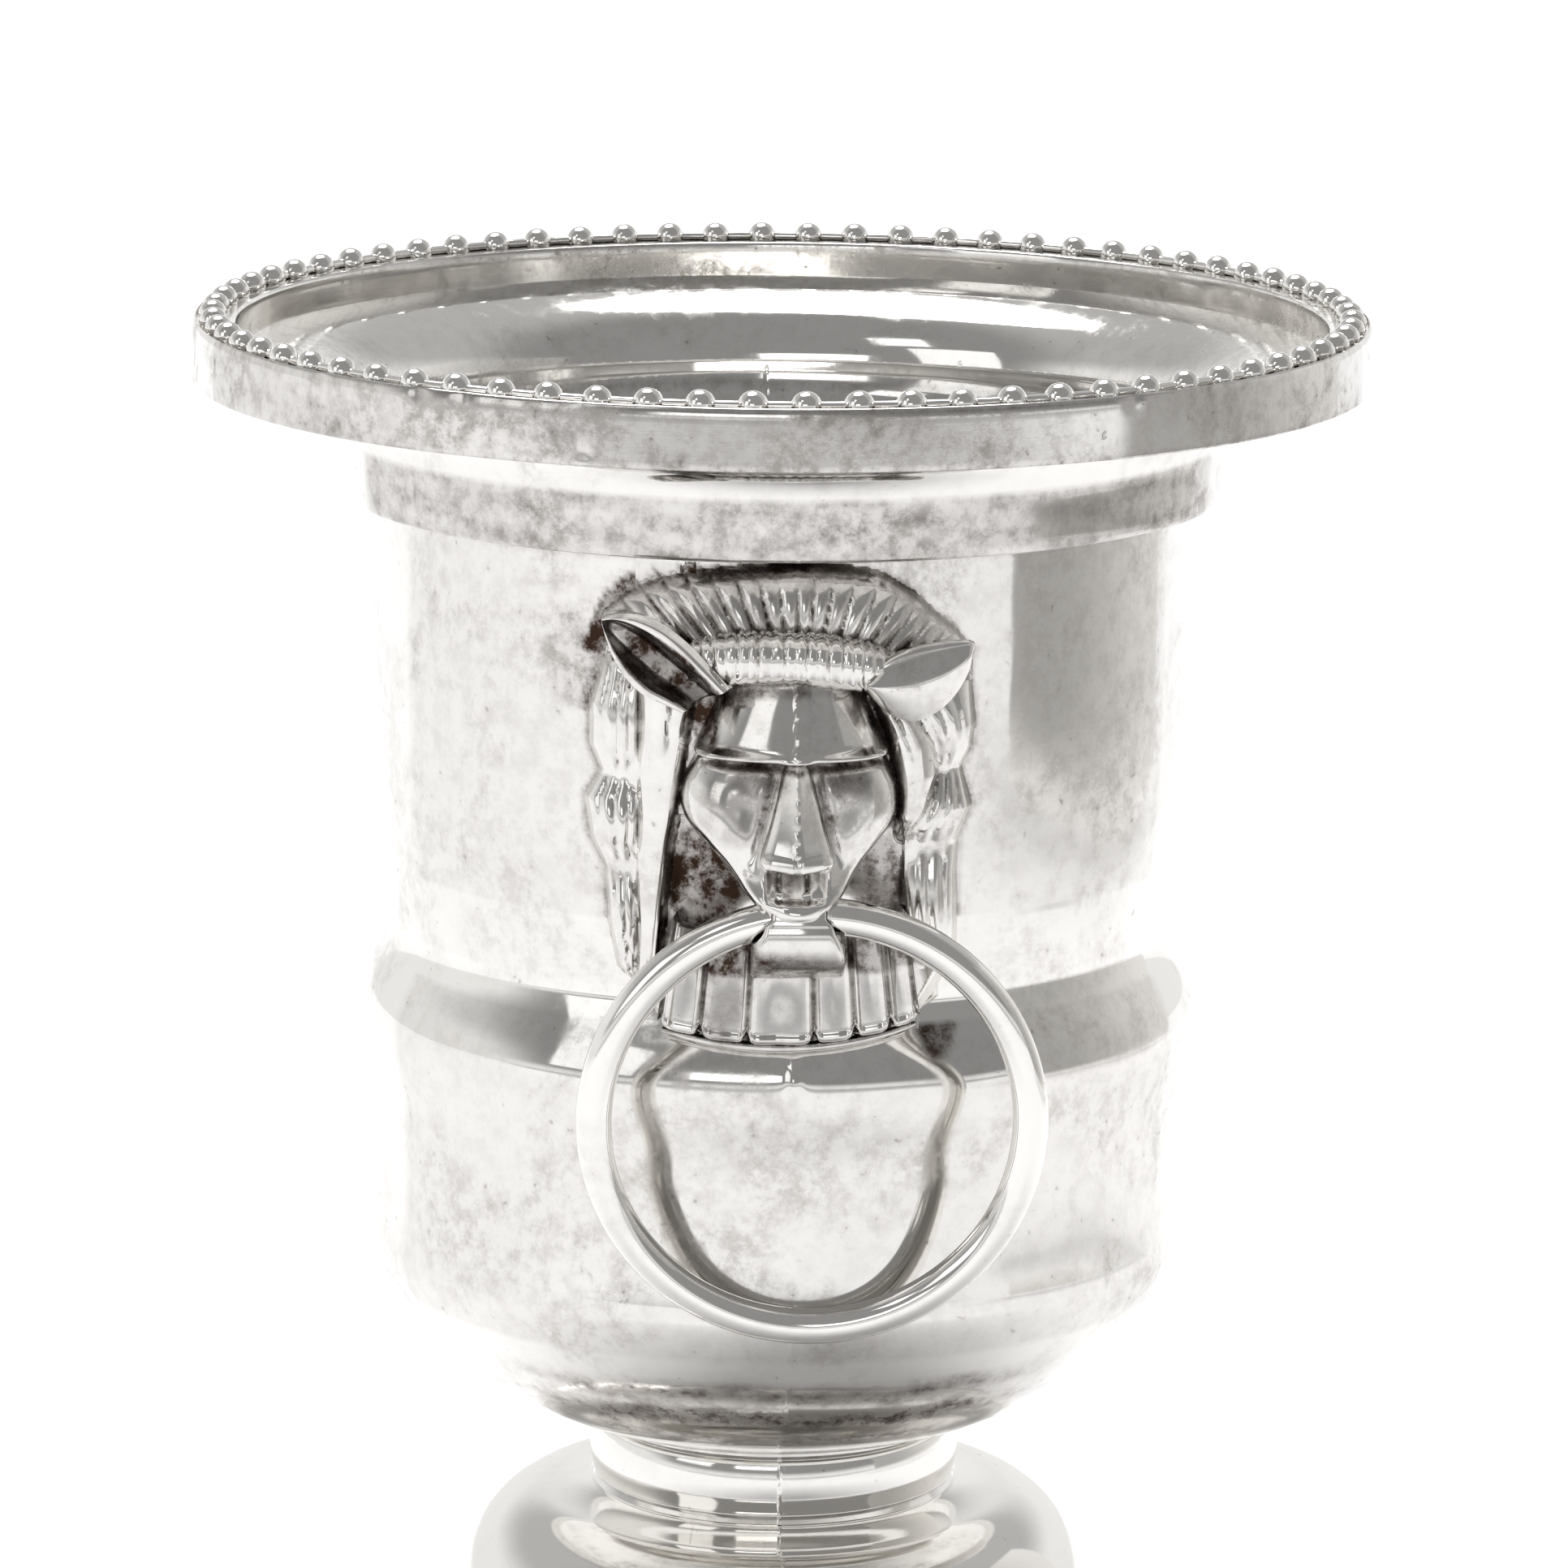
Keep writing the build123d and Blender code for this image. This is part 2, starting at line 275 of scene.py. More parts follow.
FRONT = -math.pi / 2
BACK = math.pi / 2


def outer_wall():
    """The body's outer line, from the rim band's underside down to the bowl's base."""
    return joined(
        line((100.1, RIM_BOTTOM), (95.1, RIM_BOTTOM), 4),
        bezier((95.1, RIM_BOTTOM), (83.0, RIM_BOTTOM), (77.4, 240.0), (77.4, 231.8), 18),
        line((77.4, 231.8), (77.0, 225.6), 5),
        arc((77.0, 225.6), (76.7, 224.9), (76.0, 224.6), 4),
        line((76.0, 224.6), (71.1, 224.25), 4),
        arc((71.1, 224.25), (70.85, 224.1), (70.8, 223.7), 3),
        bezier((70.8, 223.7), (70.7, 190.0), (70.9, 172.0), (68.4, 148.5), 100),
        bezier((68.4, 148.5), (69.2, 143.5), (73.6, 139.5), (73.6, 133.8), 14),
        bezier((73.6, 133.8), (73.6, 128.5), (71.5, 123.5), (71.5, 117.6), 12),
        bezier((71.5, 117.6), (71.3, 109.0), (71.7, 101.0), (72.6, 94.3), 10),
        bezier((72.6, 94.3), (72.0, 87.2), (60.3, 67.1), (32.3, 59.8), 26),
        line((32.3, 59.8), (32.3, BOWL_BASE)),
        line((32.3, BOWL_BASE), (0.0, BOWL_BASE), 4),
    )


def inner_wall():
    """The body's inner line, from the bowl's floor up to the seat of the rim channel."""
    return joined(
        bezier((0.0, 62.2), (40.0, 62.2), (68.4, 76.0), (69.6, 96.0), 14),
        line((69.6, 96.0), (69.0, 133.0), 4),
        bezier((69.0, 133.0), (69.0, 139.0), (66.2, 143.0), (66.2, 148.5), 6),
        bezier((66.2, 148.5), (68.4, 165.0), (68.4, 190.0), (68.4, 218.0), 8),
        bezier((68.4, 218.0), (68.4, 226.0), (75.0, 226.5), (75.0, 233.0), 9),
        bezier((75.0, 233.0), (75.0, 241.5), (82.5, 246.5), (93.9, 247.5), 20),
        line((93.9, 247.5), (95.5, 247.5)),
        line((95.5, 247.5), (97.0, 245.5)),
        line((97.0, 245.5), (100.1, 245.5)),
    )


def seam_angles(count=300, reach=1.3, step=0.13, near=0.0):
    """Angles round the bucket: even all round, and fine across the front and back casting seams. With
    near above 0, steps of 0.64 degrees within that many degrees of the seams."""
    even = np.linspace(-math.pi, math.pi, count, endpoint=False)
    fine = np.radians(np.arange(-reach, reach + step / 2, step))
    if near:
        middle = np.radians(np.arange(-near, near, 0.64))
        away = np.minimum(np.abs(even - FRONT), np.abs(even - BACK)) > math.radians(near)
        even = np.concatenate([even[away], middle + FRONT, middle + BACK])
    for seam in (FRONT, BACK):
        even = even[np.abs(even - seam) > math.radians(reach)]
    return np.sort(np.concatenate([even, fine + FRONT, fine + BACK]))


def seam_flash(angle, radius, height, strength):
    """The raised casting seam at the front and back: a thin ridge that wanders a little from side to
    side and is ragged along its length."""
    ragged = 0.6 + 0.25 * np.sin(height * 2.3) + 0.15 * np.sin(height * 7.1 + 1.0)
    wander = 0.25 * np.sin(height * 0.21) + 0.08 * np.sin(height * 1.7)
    ridge = 0.0
    for seam in (FRONT, BACK):
        across = (angle - seam) * radius - wander
        ridge = ridge + hump(across, 0.0, 0.26)
    return strength * ridge * ragged


def ripple(angle, height, size):
    """Slow waves left by hand finishing: a sum of sines of angle and height."""
    wave = np.sin(3 * angle + height * 0.05) + 0.7 * np.sin(7 * angle - height * 0.09 + 1.3)
    wave = wave + 0.5 * np.sin(13 * angle + height * 0.17 + 0.6) + 0.35 * np.sin(23 * angle - height * 0.31)
    return size * wave / 2.55


BODY_MIDDLE = (
    # height and a radius within the body's thickness, which tells its outside from its inside
    (62.0, 52.0), (97.0, 71.0), (140.0, 69.6), (225.0, 69.6), (233.0, 76.0), (243.0, 96.0),
)


def body_shift(shape):
    """How far the body's wall moves out: ripple, the seam where it shows, and the drip of metal that
    hangs from the collar of petals over the waist moulding."""

    def shift(angle, radius, height):
        outside = radius > read_off(BODY_MIDDLE, height)
        shown = 0.25 + 0.75 * (1 - smooth_step(72, 88, height)) + 0.75 * smooth_step(218, 226, height)
        moved = ripple(angle, height, shape.ripple)
        moved = moved + seam_flash(angle, radius, height, shape.seam_height) * shown
        for seam in (FRONT, BACK):
            across = (angle - seam) * radius
            moved = moved + 0.9 * hump(across, 0.0, 1.5) * hump(height, 136.5, 3.2)
        edge = smooth_step(60.5, 66.0, height) * (1 - smooth_step(240.0, 243.0, height))
        return np.where(outside, moved * edge, 0.0)

    return shift


def rim_profile():
    """The channel that caps the flare: upright band, rounded upper edge, flat top, short inner wall."""
    return joined(
        line((93.9, RIM_TOP - 0.6), (93.9, 247.5), 4),
        line((93.9, 247.5), (95.5, 247.5)),
        line((95.5, 247.5), (95.5, 252.0)),
        line((95.5, 252.0), (100.1, 252.0)),
        line((100.1, 252.0), (100.1, RIM_BOTTOM)),
        line((100.1, RIM_BOTTOM), (101.4, RIM_BOTTOM)),
        arc((101.4, RIM_BOTTOM), (101.64, 244.0), (101.7, 244.25), 4),
        line((101.7, 244.25), (101.7, 252.4), 10),
        arc((101.7, 252.4), (101.45, 253.75), (100.95, 254.3), 8),
        line((100.95, 254.3), (100.7, RIM_TOP), 3),
        line((100.7, RIM_TOP), (94.5, RIM_TOP), 4),
        arc((94.5, RIM_TOP), (94.08, 253.42), (93.9, RIM_TOP - 0.6), 4),
    )


RIM_DENTS = (
    # direction in degrees, depth and half width in degrees
    (-128, 0.34, 1.1), (-123, 0.22, 0.7), (-141, 0.2, 0.9), (-58, 0.2, 0.8), (63, 0.3, 1.0),
)


def rim_shift(angle, radius, height):
    """Faint ripple of the upright band, with a few dents in its upper edge and one pit."""
    band = smooth_step(100.9, 101.6, radius)
    moved = -0.05 + 0.05 * np.sin(9 * angle + 0.7) * np.sin(5 * angle)
    upper_edge = smooth_step(251, 253, height)
    for place, depth, width in RIM_DENTS:
        moved = moved - depth * hump(angle, math.radians(place), math.radians(width)) * upper_edge
    pit = hump(angle, math.radians(-110.6), math.radians(0.45)) * hump(height, 246.2, 0.55)
    return band * (moved - 0.4 * pit)


def collar_profile():
    """The short waisted collar between the bowl and the foot."""
    return joined(
        line((31.9, FOOT_TOP), (28.0, FOOT_TOP)),
        line((28.0, FOOT_TOP), (28.0, BOWL_BASE)),
        line((28.0, BOWL_BASE), (31.6, BOWL_BASE)),
        line((31.6, BOWL_BASE), (30.9, 58.7)),
        line((30.9, 58.7), (31.8, 57.8), 3),
        arc((31.8, 57.8), (32.5, 53.4), (31.8, 48.6), 16),
        line((31.8, 48.6), (31.1, 47.9), 3),
        line((31.1, 47.9), (31.9, FOOT_TOP), 3),
    )


def foot_profile():
    """The hollow domed foot with its flat top plate."""
    return joined(
        line((4.4, FOOT_TOP), (31.9, FOOT_TOP), 3),
        bezier((31.9, FOOT_TOP), (33.5, 45.6), (36.5, 45.2), (41.2, 45.1), 10),
        bezier((41.2, 45.1), (52.9, 44.1), (57.8, 31.4), (60.3, 15.7), 30),
        bezier((60.3, 15.7), (60.9, 11.5), (61.8, 9.5), (64.0, 8.6), 10),
        line((64.0, 8.6), (64.0, BASE_HEIGHT), 3),
        line((64.0, BASE_HEIGHT), (60.6, BASE_HEIGHT)),
        bezier((60.6, BASE_HEIGHT), (59.4, 9.0), (58.4, 12.0), (57.8, 15.7), 5),
        bezier((57.8, 15.7), (55.4, 30.5), (51.0, 41.6), (41.0, 42.6), 14),
        bezier((41.0, 42.6), (38.0, 42.7), (34.0, 42.8), (30.0, 44.5), 5),
        line((30.0, 44.5), (4.4, 44.5), 3),
    )


def foot_shift(shape):
    """The foot's casting seam and ripple, only on its outside."""

    def shift(angle, radius, height):
        outside = radius > np.interp(height, [8.6, 15.7, 31.4, 44.0], [60.4, 59.0, 52.0, 30.9])
        moved = ripple(angle, height, shape.ripple) + seam_flash(angle, radius, height, shape.seam_height)
        return np.where(outside, moved * (1 - smooth_step(46.2, 46.9, height)), 0.0)

    return shift


def collar_shift(shape):
    """The collar's casting seam, only on its outside."""

    def shift(angle, radius, height):
        outside = (radius > 30.5) & (height < BOWL_BASE - 0.1)
        return np.where(outside, seam_flash(angle, radius, height, shape.seam_height), 0.0)

    return shift


def base_profile():
    """The rounded ring under the foot."""
    return joined(
        line((65.3, BASE_HEIGHT), (58.0, BASE_HEIGHT), 3),
        line((58.0, BASE_HEIGHT), (58.0, 0.0), 3),
        line((58.0, 0.0), (65.3, 0.0), 3),
        arc((65.3, 0.0), (BASE_RADIUS, BASE_HEIGHT / 2), (65.3, BASE_HEIGHT), 12),
    )


def bead_string(shape):
    """The beaded wire: a round section carried round the rim whose radius swells into a bead at each
    pitch, sqrt(R^2 - s^2) at distance s from a bead's middle, and stays the wire's radius between.
    Its underside is flattened on the rim."""
    circle = 98.0
    centre = BEAD_TOP - shape.bead_radius
    pitch = 2 * math.pi * circle / shape.bead_count
    bead = shape.bead_radius * np.sin(np.linspace(-math.pi / 2, math.pi / 2, 15))
    gap = np.linspace(shape.bead_radius, pitch - shape.bead_radius, 6)[1:-1]
    along = np.concatenate([bead, gap])
    offset = np.where(along > pitch / 2, along - pitch, along)
    radius = np.sqrt(np.maximum(shape.bead_radius**2 - offset**2, 0.0))
    radius = np.maximum(radius, shape.wire_radius)
    number = np.arange(shape.bead_count)
    size = 1 - 0.035 * (1 + np.sin(number * 2.4 + 0.5)) * (0.5 + 0.5 * np.sin(number * 5.1))
    path = (number[:, None] * pitch + along[None, :]).ravel() / circle + FRONT
    tube = (size[:, None] * radius[None, :]).ravel()
    across = np.linspace(0.0, 2 * math.pi, 16, endpoint=False)
    out = circle + tube[:, None] * np.cos(across)
    up = np.maximum(centre + tube[:, None] * np.sin(across), RIM_TOP)
    points = np.stack([out * np.cos(path)[:, None], out * np.sin(path)[:, None], up], axis=-1)
    points = points.reshape(-1, 3)
    return points, outward(points, quads(len(path), len(across), wrap_rows=True, wrap_columns=True))


def ring_surface(side, shift):
    """A ring of round wire, hanging from the lug and leaning on the wall. side is 1 at the front and
    -1 at the back; shift is how far the ring has slipped sideways. The wire's radius and the ring's
    roundness wander by a few hundredths."""
    radius, wire, lean, rise = 36.3, 3.05, math.radians(6.2), 0.7
    steps, sides = 260, 28
    turn = np.linspace(0.0, 2 * math.pi, steps, endpoint=False)[:, None]
    across = np.linspace(0.0, 2 * math.pi, sides, endpoint=False)[None, :]
    thick = wire - 0.03 + 0.03 * np.sin(3 * turn + 1.0) * np.sin(2 * across + turn)
    out = radius + thick * np.cos(across)
    x = out * np.sin(turn) + shift
    drop = out * np.cos(turn) + rise - radius
    deep = thick * np.sin(across) + 0 * turn
    y = deep * math.cos(lean) - drop * math.sin(lean)
    z = deep * math.sin(lean) + drop * math.cos(lean)
    points = np.stack([x, y - PIVOT_OUT, z + PIVOT_HEIGHT], axis=-1).reshape(-1, 3)
    points = points * (side, side, 1)
    return points, outward(points, quads(steps, sides, wrap_rows=True, wrap_columns=True))


# ---------------------------------------------------------------------------------------------
# The lion mask
# ---------------------------------------------------------------------------------------------


def on_wall(u, radius, z):
    """Points at a distance radius from the bucket's axis, u to the side, on the -Y side."""
    return np.stack([u, -np.sqrt(np.maximum(radius**2 - u**2, 1.0)), z], axis=-1)


LEFT_EDGE = (
    # height and distance to the left of the middle, from the collar up to the crown
    (142.0, 4.0), (143.6, 15.0), (146.0, 21.5), (149.0, 24.0), (154.0, 29.4), (162.0, 31.0), (171.0, 31.6),
    (176.0, 34.2), (183.0, 35.1), (187.3, 32.4), (192.0, 34.4), (198.9, 34.4), (204.0, 32.8), (209.0, 31.6),
    (214.0, 28.6), (219.0, 20.8), (222.3, 10.0), (223.6, 1.0),
)
RIGHT_EDGE = (
    # height and distance to the right of the middle, from the collar up to the crown
    (142.0, 4.0), (143.6, 15.0), (146.0, 20.5), (149.0, 23.0), (156.0, 27.4), (164.0, 27.4), (171.0, 27.2),
    (176.0, 27.4), (182.0, 29.7), (188.6, 27.8), (192.0, 29.6), (196.2, 30.2), (203.0, 29.4), (209.0, 29.6),
    (214.0, 26.6), (219.0, 19.6), (222.3, 9.6), (223.6, 1.0),
)
LEFT_LOBES = (206.5, 187.3, 172.0, 149.0)   # heights where one lobe ends and the next begins
RIGHT_LOBES = (205.5, 188.6, 176.0, 152.0)
LEFT_INNER = (
    # height and place across of the inner edge of the smooth lock beside the left cheek
    (150.0, -23.0), (158.0, -22.2), (165.0, -21.6), (176.0, -20.4), (186.0, -18.4), (200.0, -16.0),
)
RIGHT_INNER = (
    # height and place across of the line between the smooth and the lobed lock on the right
    (150.0, 20.0), (164.0, 18.4), (176.0, 18.2), (178.5, 18.6), (182.6, 21.2), (188.0, 22.8), (193.0, 22.4),
    (198.0, 19.4), (202.0, 15.0),
)


def hair(u, z, near, far, lobes, flutes):
    """A hanging lock between a near and a far edge. Along it the height swells and sinks once for each
    lobe, |sin|^0.85, and across it goes sqrt(1 - |p|^3), with shallow flutes that run on from lobe to
    lobe."""
    middle, half = (near + far) / 2, np.maximum(np.abs(far - near) / 2, 0.5)
    p = (u - middle) / half
    tops = np.array(lobes[::-1])
    along = np.interp(z, tops, np.arange(len(tops)))
    down = 1 - (along - np.floor(along))
    swell = np.sin(math.pi * np.clip(down, 0, 1) ** 1.15) ** 0.85
    ends = smooth_step(lobes[-1], lobes[-1] + 5.0, z)
    ends = ends * (1 - smooth_step(lobes[0] - 1.0, lobes[0] + 1.5, z))
    flute = np.abs(np.sin(math.pi * flutes * (p + 1) / 2)) ** 0.7 - 1
    body = np.sqrt(np.clip(1 - np.abs(p) ** 3, 0.0, 1.0)) * (2.1 + 2.6 * swell + 0.65 * flute) * ends
    return np.where(np.abs(p) < 1, body, -0.8)


def smooth_lock(u, z, near, far, low, high, height, lines):
    """A long smooth lock between two edges, rounded across and gentler towards the cheek, with a few
    fine lines cut along it that deepen towards its top."""
    middle, half = (near + far) / 2, np.maximum(np.abs(far - near) / 2, 0.5)
    p = (u - middle) / half
    ends = np.sqrt(smooth_step(low, low + 6.0, z) * (1 - smooth_step(high - 3.0, high, z)))
    cut = (1 - np.abs(np.sin(math.pi * lines * (p + 1) / 2))) ** 3
    cut = cut * (0.2 + 0.9 * smooth_step(190.0, 200.0, z))
    outer_side = p * np.sign(far - near) > 0
    body = np.clip(1 - np.abs(p) ** 2.6, 0.0, 1.0) ** np.where(outer_side, 0.5, 1.2) * (height - cut) * ends
    return np.where(np.abs(p) < 1, body, -0.8)


def mane_relief(u, z):
    """Height of the relief over the wall: a thin plate inside the mane's outline, the lobed locks down
    both sides, the smooth locks beside the cheeks and the fan of hair on top, whichever is highest."""
    left = read_off(LEFT_EDGE, z)
    right = read_off(RIGHT_EDGE, z)
    inside = np.where(u < 0, left + u, right - u)
    left_cheek = read_off(LEFT_INNER, z)
    bare = (z < 181.0) & (u > left_cheek) & (u < 18.0)
    relief = np.clip(inside * 1.1, -0.8, np.where(bare, 0.7, 2.4))
    relief = np.where(z > 206.5, -0.8, relief)
    left_seam = np.full(z.shape, -26.3)
    right_seam = read_off(RIGHT_INNER, z)
    relief = np.maximum(relief, hair(u, z, left_seam + 0.7, -left + 0.2, LEFT_LOBES, 4))
    relief = np.maximum(relief, hair(u, z, right_seam - 0.7, right - 0.2, RIGHT_LOBES, 4))
    relief = np.maximum(relief, smooth_lock(u, z, left_cheek + 0.8, left_seam - 0.5, 149.0, 205.0, 4.9, 2))
    right_cheek = np.interp(z, [176.0, 186.0, 196.0, 204.0], [17.0, 16.2, 14.0, 11.0])
    relief = np.maximum(relief, smooth_lock(u, z, right_cheek - 0.6, right_seam + 1.2, 176.0, 205.5, 6.2, 2))
    return np.maximum(relief, fan_relief(u, z))


FAN_EDGE = (
    # across and height of the fan's outline, from the left ear over the top to the right ear
    (-34.5, 207.0), (-33.4, 211.0), (-31.9, 214.4), (-28.0, 217.8), (-23.0, 220.3), (-17.0, 221.9),
    (-12.3, 222.7), (-6.0, 223.5), (0.0, 223.8), (6.0, 223.5), (11.6, 222.7), (15.0, 221.4),
    (18.2, 219.4), (21.0, 217.0), (23.5, 214.6), (26.5, 212.2), (29.5, 208.0),
)


EAR_LOWER_EDGE = (
    # across and height of the left ear's lower edge, from its tip to its root
    (-32.4, 214.8), (-31.6, 212.2), (-30.4, 209.2), (-28.4, 206.2),
    (-25.6, 203.6), (-22.4, 202.2), (-19.4, 200.8),
)
EAR_UPPER_EDGE = (
    # across and height of the left ear's upper edge, from its tip to its root
    (-32.3, 215.6), (-30.2, 216.7), (-27.0, 216.9), (-22.6, 215.4), (-18.4, 212.3), (-14.6, 208.4),
    (-11.4, 204.9),
)


def strands(u, z):
    """The fan's strands: |sin| of the angle from a point behind the brow, its spacing wandering."""
    spread = np.degrees(np.arctan2(u, z - 191.0))
    spread = spread + 0.7 * np.sin(np.radians(spread * 9.0)) + 1.2 * np.sin(np.radians(spread * 2.3 + 40))
    return np.abs(np.sin(math.pi * spread / 6.3)) ** 0.42


def fan_relief(u, z):
    """The fan of hair over the head, which rises from the outline to the fringe in a quarter round and
    is cut by narrow grooves between its strands."""
    outer = read_off(FAN_EDGE, u)
    inner = 213.0 - 0.019 * u**2
    rise = np.clip((outer - z) / np.maximum(outer - inner, 2.0), 0.0, 1.3)
    round_over = np.sqrt(np.clip(1 - (1 - np.clip(rise * 1.2, 0, 1)) ** 2, 0.0, 1.0))
    groove = 1.35 * (1 - strands(u, z)) * round_over**1.5
    full = (6.6 - 1.6 * (np.abs(u) / 26) ** 2) * round_over - groove
    under_ear = read_off(EAR_LOWER_EDGE, u)
    shown = (z > 203.5) & (z > under_ear) & (z < outer + 0.4) & (u > -32.3) & (u < 29.0)
    return np.where(shown, np.where(z < outer, full, -0.4), -0.8)


PETAL_EDGES = np.array((-22.7, -15.9, -8.0, 3.2, 10.1, 16.1, 20.6))


def petal_line(across):
    """Distance to the nearest edge between petals, height of the shallow arc they stand on, and height
    of their lower edge, which turns up in a round corner at each side of a petal."""
    gap = np.min(np.abs(across[..., None] - PETAL_EDGES), axis=-1)
    arch = 142.9 + 3.2 * (across / 22.8) ** 2 + 0.035 * across
    return gap, arch, arch + 1.6 * np.clip(1 - gap / 1.7, 0.0, 1.0) ** 2


def petal_collar():
    """The collar under the chin: petals with thin raised edges, slightly dished, rounded under their
    lower edge and leaning back as they rise, drawn a little together upwards."""
    across = np.sort(np.concatenate([np.linspace(-23.1, 21.0, 210), PETAL_EDGES]))[:, None]
    gap, _, low = petal_line(across)
    rise = np.concatenate([[0.0, 0.0, 0.06, 0.2, 0.4, 0.7], np.linspace(1.05, 17.5, 40), [17.8, 17.8]])
    rise = rise[None, :]
    tuck = np.concatenate([[6.0, 0.62, 0.35, 0.16, 0.05, 0.0], np.zeros(40), [0.6, 6.0]])[None, :]
    edge = 0.42 * hump(gap, 0.75, 0.34) - 0.5 * hump(gap, 0.0, 0.28) + 0.32 * hump(rise, 0.9, 0.4)
    dish = -0.5 * smooth_step(0.6, 4.0, gap) * smooth_step(0.6, 11.0, rise)
    z = low + rise
    out = 74.6 - 0.05 * (z - 143.0) + edge + dish - tuck + 0.25 * np.sin(across * 0.9 + 1.0)
    u = across * (1 - 0.006 * rise)
    angle = u / 74.0
    return loft(np.stack([out * np.sin(angle), -out * np.cos(angle), z], axis=-1))


def petal_ledge():
    """The narrow rolled ledge under the petals, thinner at its ends."""
    across = np.linspace(-22.6, 20.8, 200)[:, None]
    turn = np.linspace(0.0, 2 * math.pi, 14, endpoint=False)[None, :]
    _, arch, _ = petal_line(across)
    thick = 0.9 * (1 - 0.5 * np.abs((across + 0.9) / 21.7) ** 3)
    out = 72.6 + 1.5 * thick * np.cos(turn)
    z = arch - 0.75 + thick * np.sin(turn)
    angle = across / 74.0
    return loft(np.stack([out * np.sin(angle), -out * np.cos(angle), z], axis=-1))


def relief_sheet(wall):
    """The mane and fan as one closed slab: a grid over u and z kept where the relief stands
    clear of the wall, its back just under the wall's surface, joined round the edge."""
    across = np.arange(-36.2, 31.3, 0.4)
    up = np.arange(144.0, 224.3, 0.52)
    u, z = np.meshgrid(across, up, indexing="ij")
    height = mane_relief(u, z)
    radius = np.interp(z, wall[::-1, 1], wall[::-1, 0])
    front = on_wall(u, radius + height, z).reshape(-1, 3)
    back = on_wall(u, radius - 1.0, z).reshape(-1, 3)
    faces = quads(len(across), len(up))
    kept = faces[(height.ravel()[faces] > -0.75).any(axis=1)]
    edges = np.concatenate([kept[:, [k, (k + 1) % 4]] for k in range(4)])
    order = np.sort(edges, axis=1)
    _, first, count = np.unique(order, axis=0, return_index=True, return_counts=True)
    rim = edges[first[count == 1]]
    far = len(front)
    sides = np.stack([rim[:, 1], rim[:, 0], rim[:, 0] + far, rim[:, 1] + far], axis=1)
    faces = np.concatenate([kept, kept[:, ::-1] + far, sides])
    points = np.concatenate([front, back])
    used, renumbered = np.unique(faces, return_inverse=True)
    points, faces = points[used], renumbered.reshape(-1, 4)
    return points, outward(points, faces)


def fringe_roll():
    """The rolled fringe over the forehead: a round section carried along a shallow arc from ear to
    ear, with upright ribs whose spacing wanders a little."""
    along = np.linspace(0.0, 1.0, 216)[:, None]
    across = np.linspace(0.0, 2 * math.pi, 28, endpoint=False)[None, :]
    s = along * 2 - 1
    place = along + 0.006 * np.sin(along * 23.0) + 0.004 * np.sin(across * 2 + along * 40.0)
    rib = np.abs(np.sin(math.pi * 18 * place)) ** 0.8
    rib = 1 - (1 - rib) * (1 - 0.75 * np.clip(-np.sin(across), 0, 1))
    thick = 4.6 * (1 - 0.3 * np.abs(s) ** 4) - 0.6 * (1 - rib) * (0.75 + 0.25 * np.sin(along * 61.0))
    u = 17.4 * s - 0.8 + 0 * across
    w = 79.3 - 3.0 * s**2 + thick * np.cos(across) * 1.05
    z = 209.3 - 1.9 * s**2 + thick * np.sin(across) - 0.9 * s
    return loft(np.stack([u, -w, z], axis=-1))


HEAD_PROFILE = (
    # out, height, half width, squareness: down the front of the face from the hairline to the throat
    (76.0, 207.5, 11.3, 0.75), (81.4, 206.0, 11.6, 0.70), (83.2, 203.0, 12.2, 0.66),
    (84.8, 198.5, 13.9, 0.60), (86.2, 194.6, 15.7, 0.56), (86.6, 193.6, 16.2, 0.54),
    (86.4, 192.9, 16.3, 0.56), (83.2, 192.4, 16.0, 0.64), (82.2, 191.4, 16.2, 0.70),
    (83.0, 190.0, 16.9, 0.72), (84.2, 187.5, 17.9, 0.72), (85.0, 184.0, 18.3, 0.72),
    (85.5, 181.0, 17.4, 0.72), (85.9, 178.2, 15.2, 0.72), (86.4, 175.6, 12.9, 0.70),
    (87.3, 173.0, 10.9, 0.64), (88.9, 170.9, 9.2, 0.50), (90.0, 169.2, 7.8, 0.46),
    (90.2, 168.0, 6.7, 0.46), (89.5, 167.2, 6.2, 0.50), (88.6, 167.5, 6.2, 0.50),
    (88.2, 169.4, 7.2, 0.50), (87.0, 171.5, 8.4, 0.54), (83.8, 172.2, 8.8, 0.60),
    (80.2, 171.6, 8.6, 0.70), (77.0, 170.0, 8.0, 0.80),
)


def eased(table, count):
    """A table of rows resampled to count rows along its length, eased by Catmull-Rom splines."""
    rows = np.asarray(table, float)
    padded = np.concatenate([2 * rows[:1] - rows[1:2], rows, 2 * rows[-1:] - rows[-2:-1]])
    place = np.linspace(0, len(rows) - 1 - 1e-9, count)
    first = place.astype(int)
    t = (place - first)[:, None]
    a, b, c, d = (padded[first + k] for k in range(4))
    return 0.5 * (2 * b + (c - a) * t + (2 * a - 5 * b + 4 * c - d) * t**2 + (3 * b - a - 3 * c + d) * t**3)


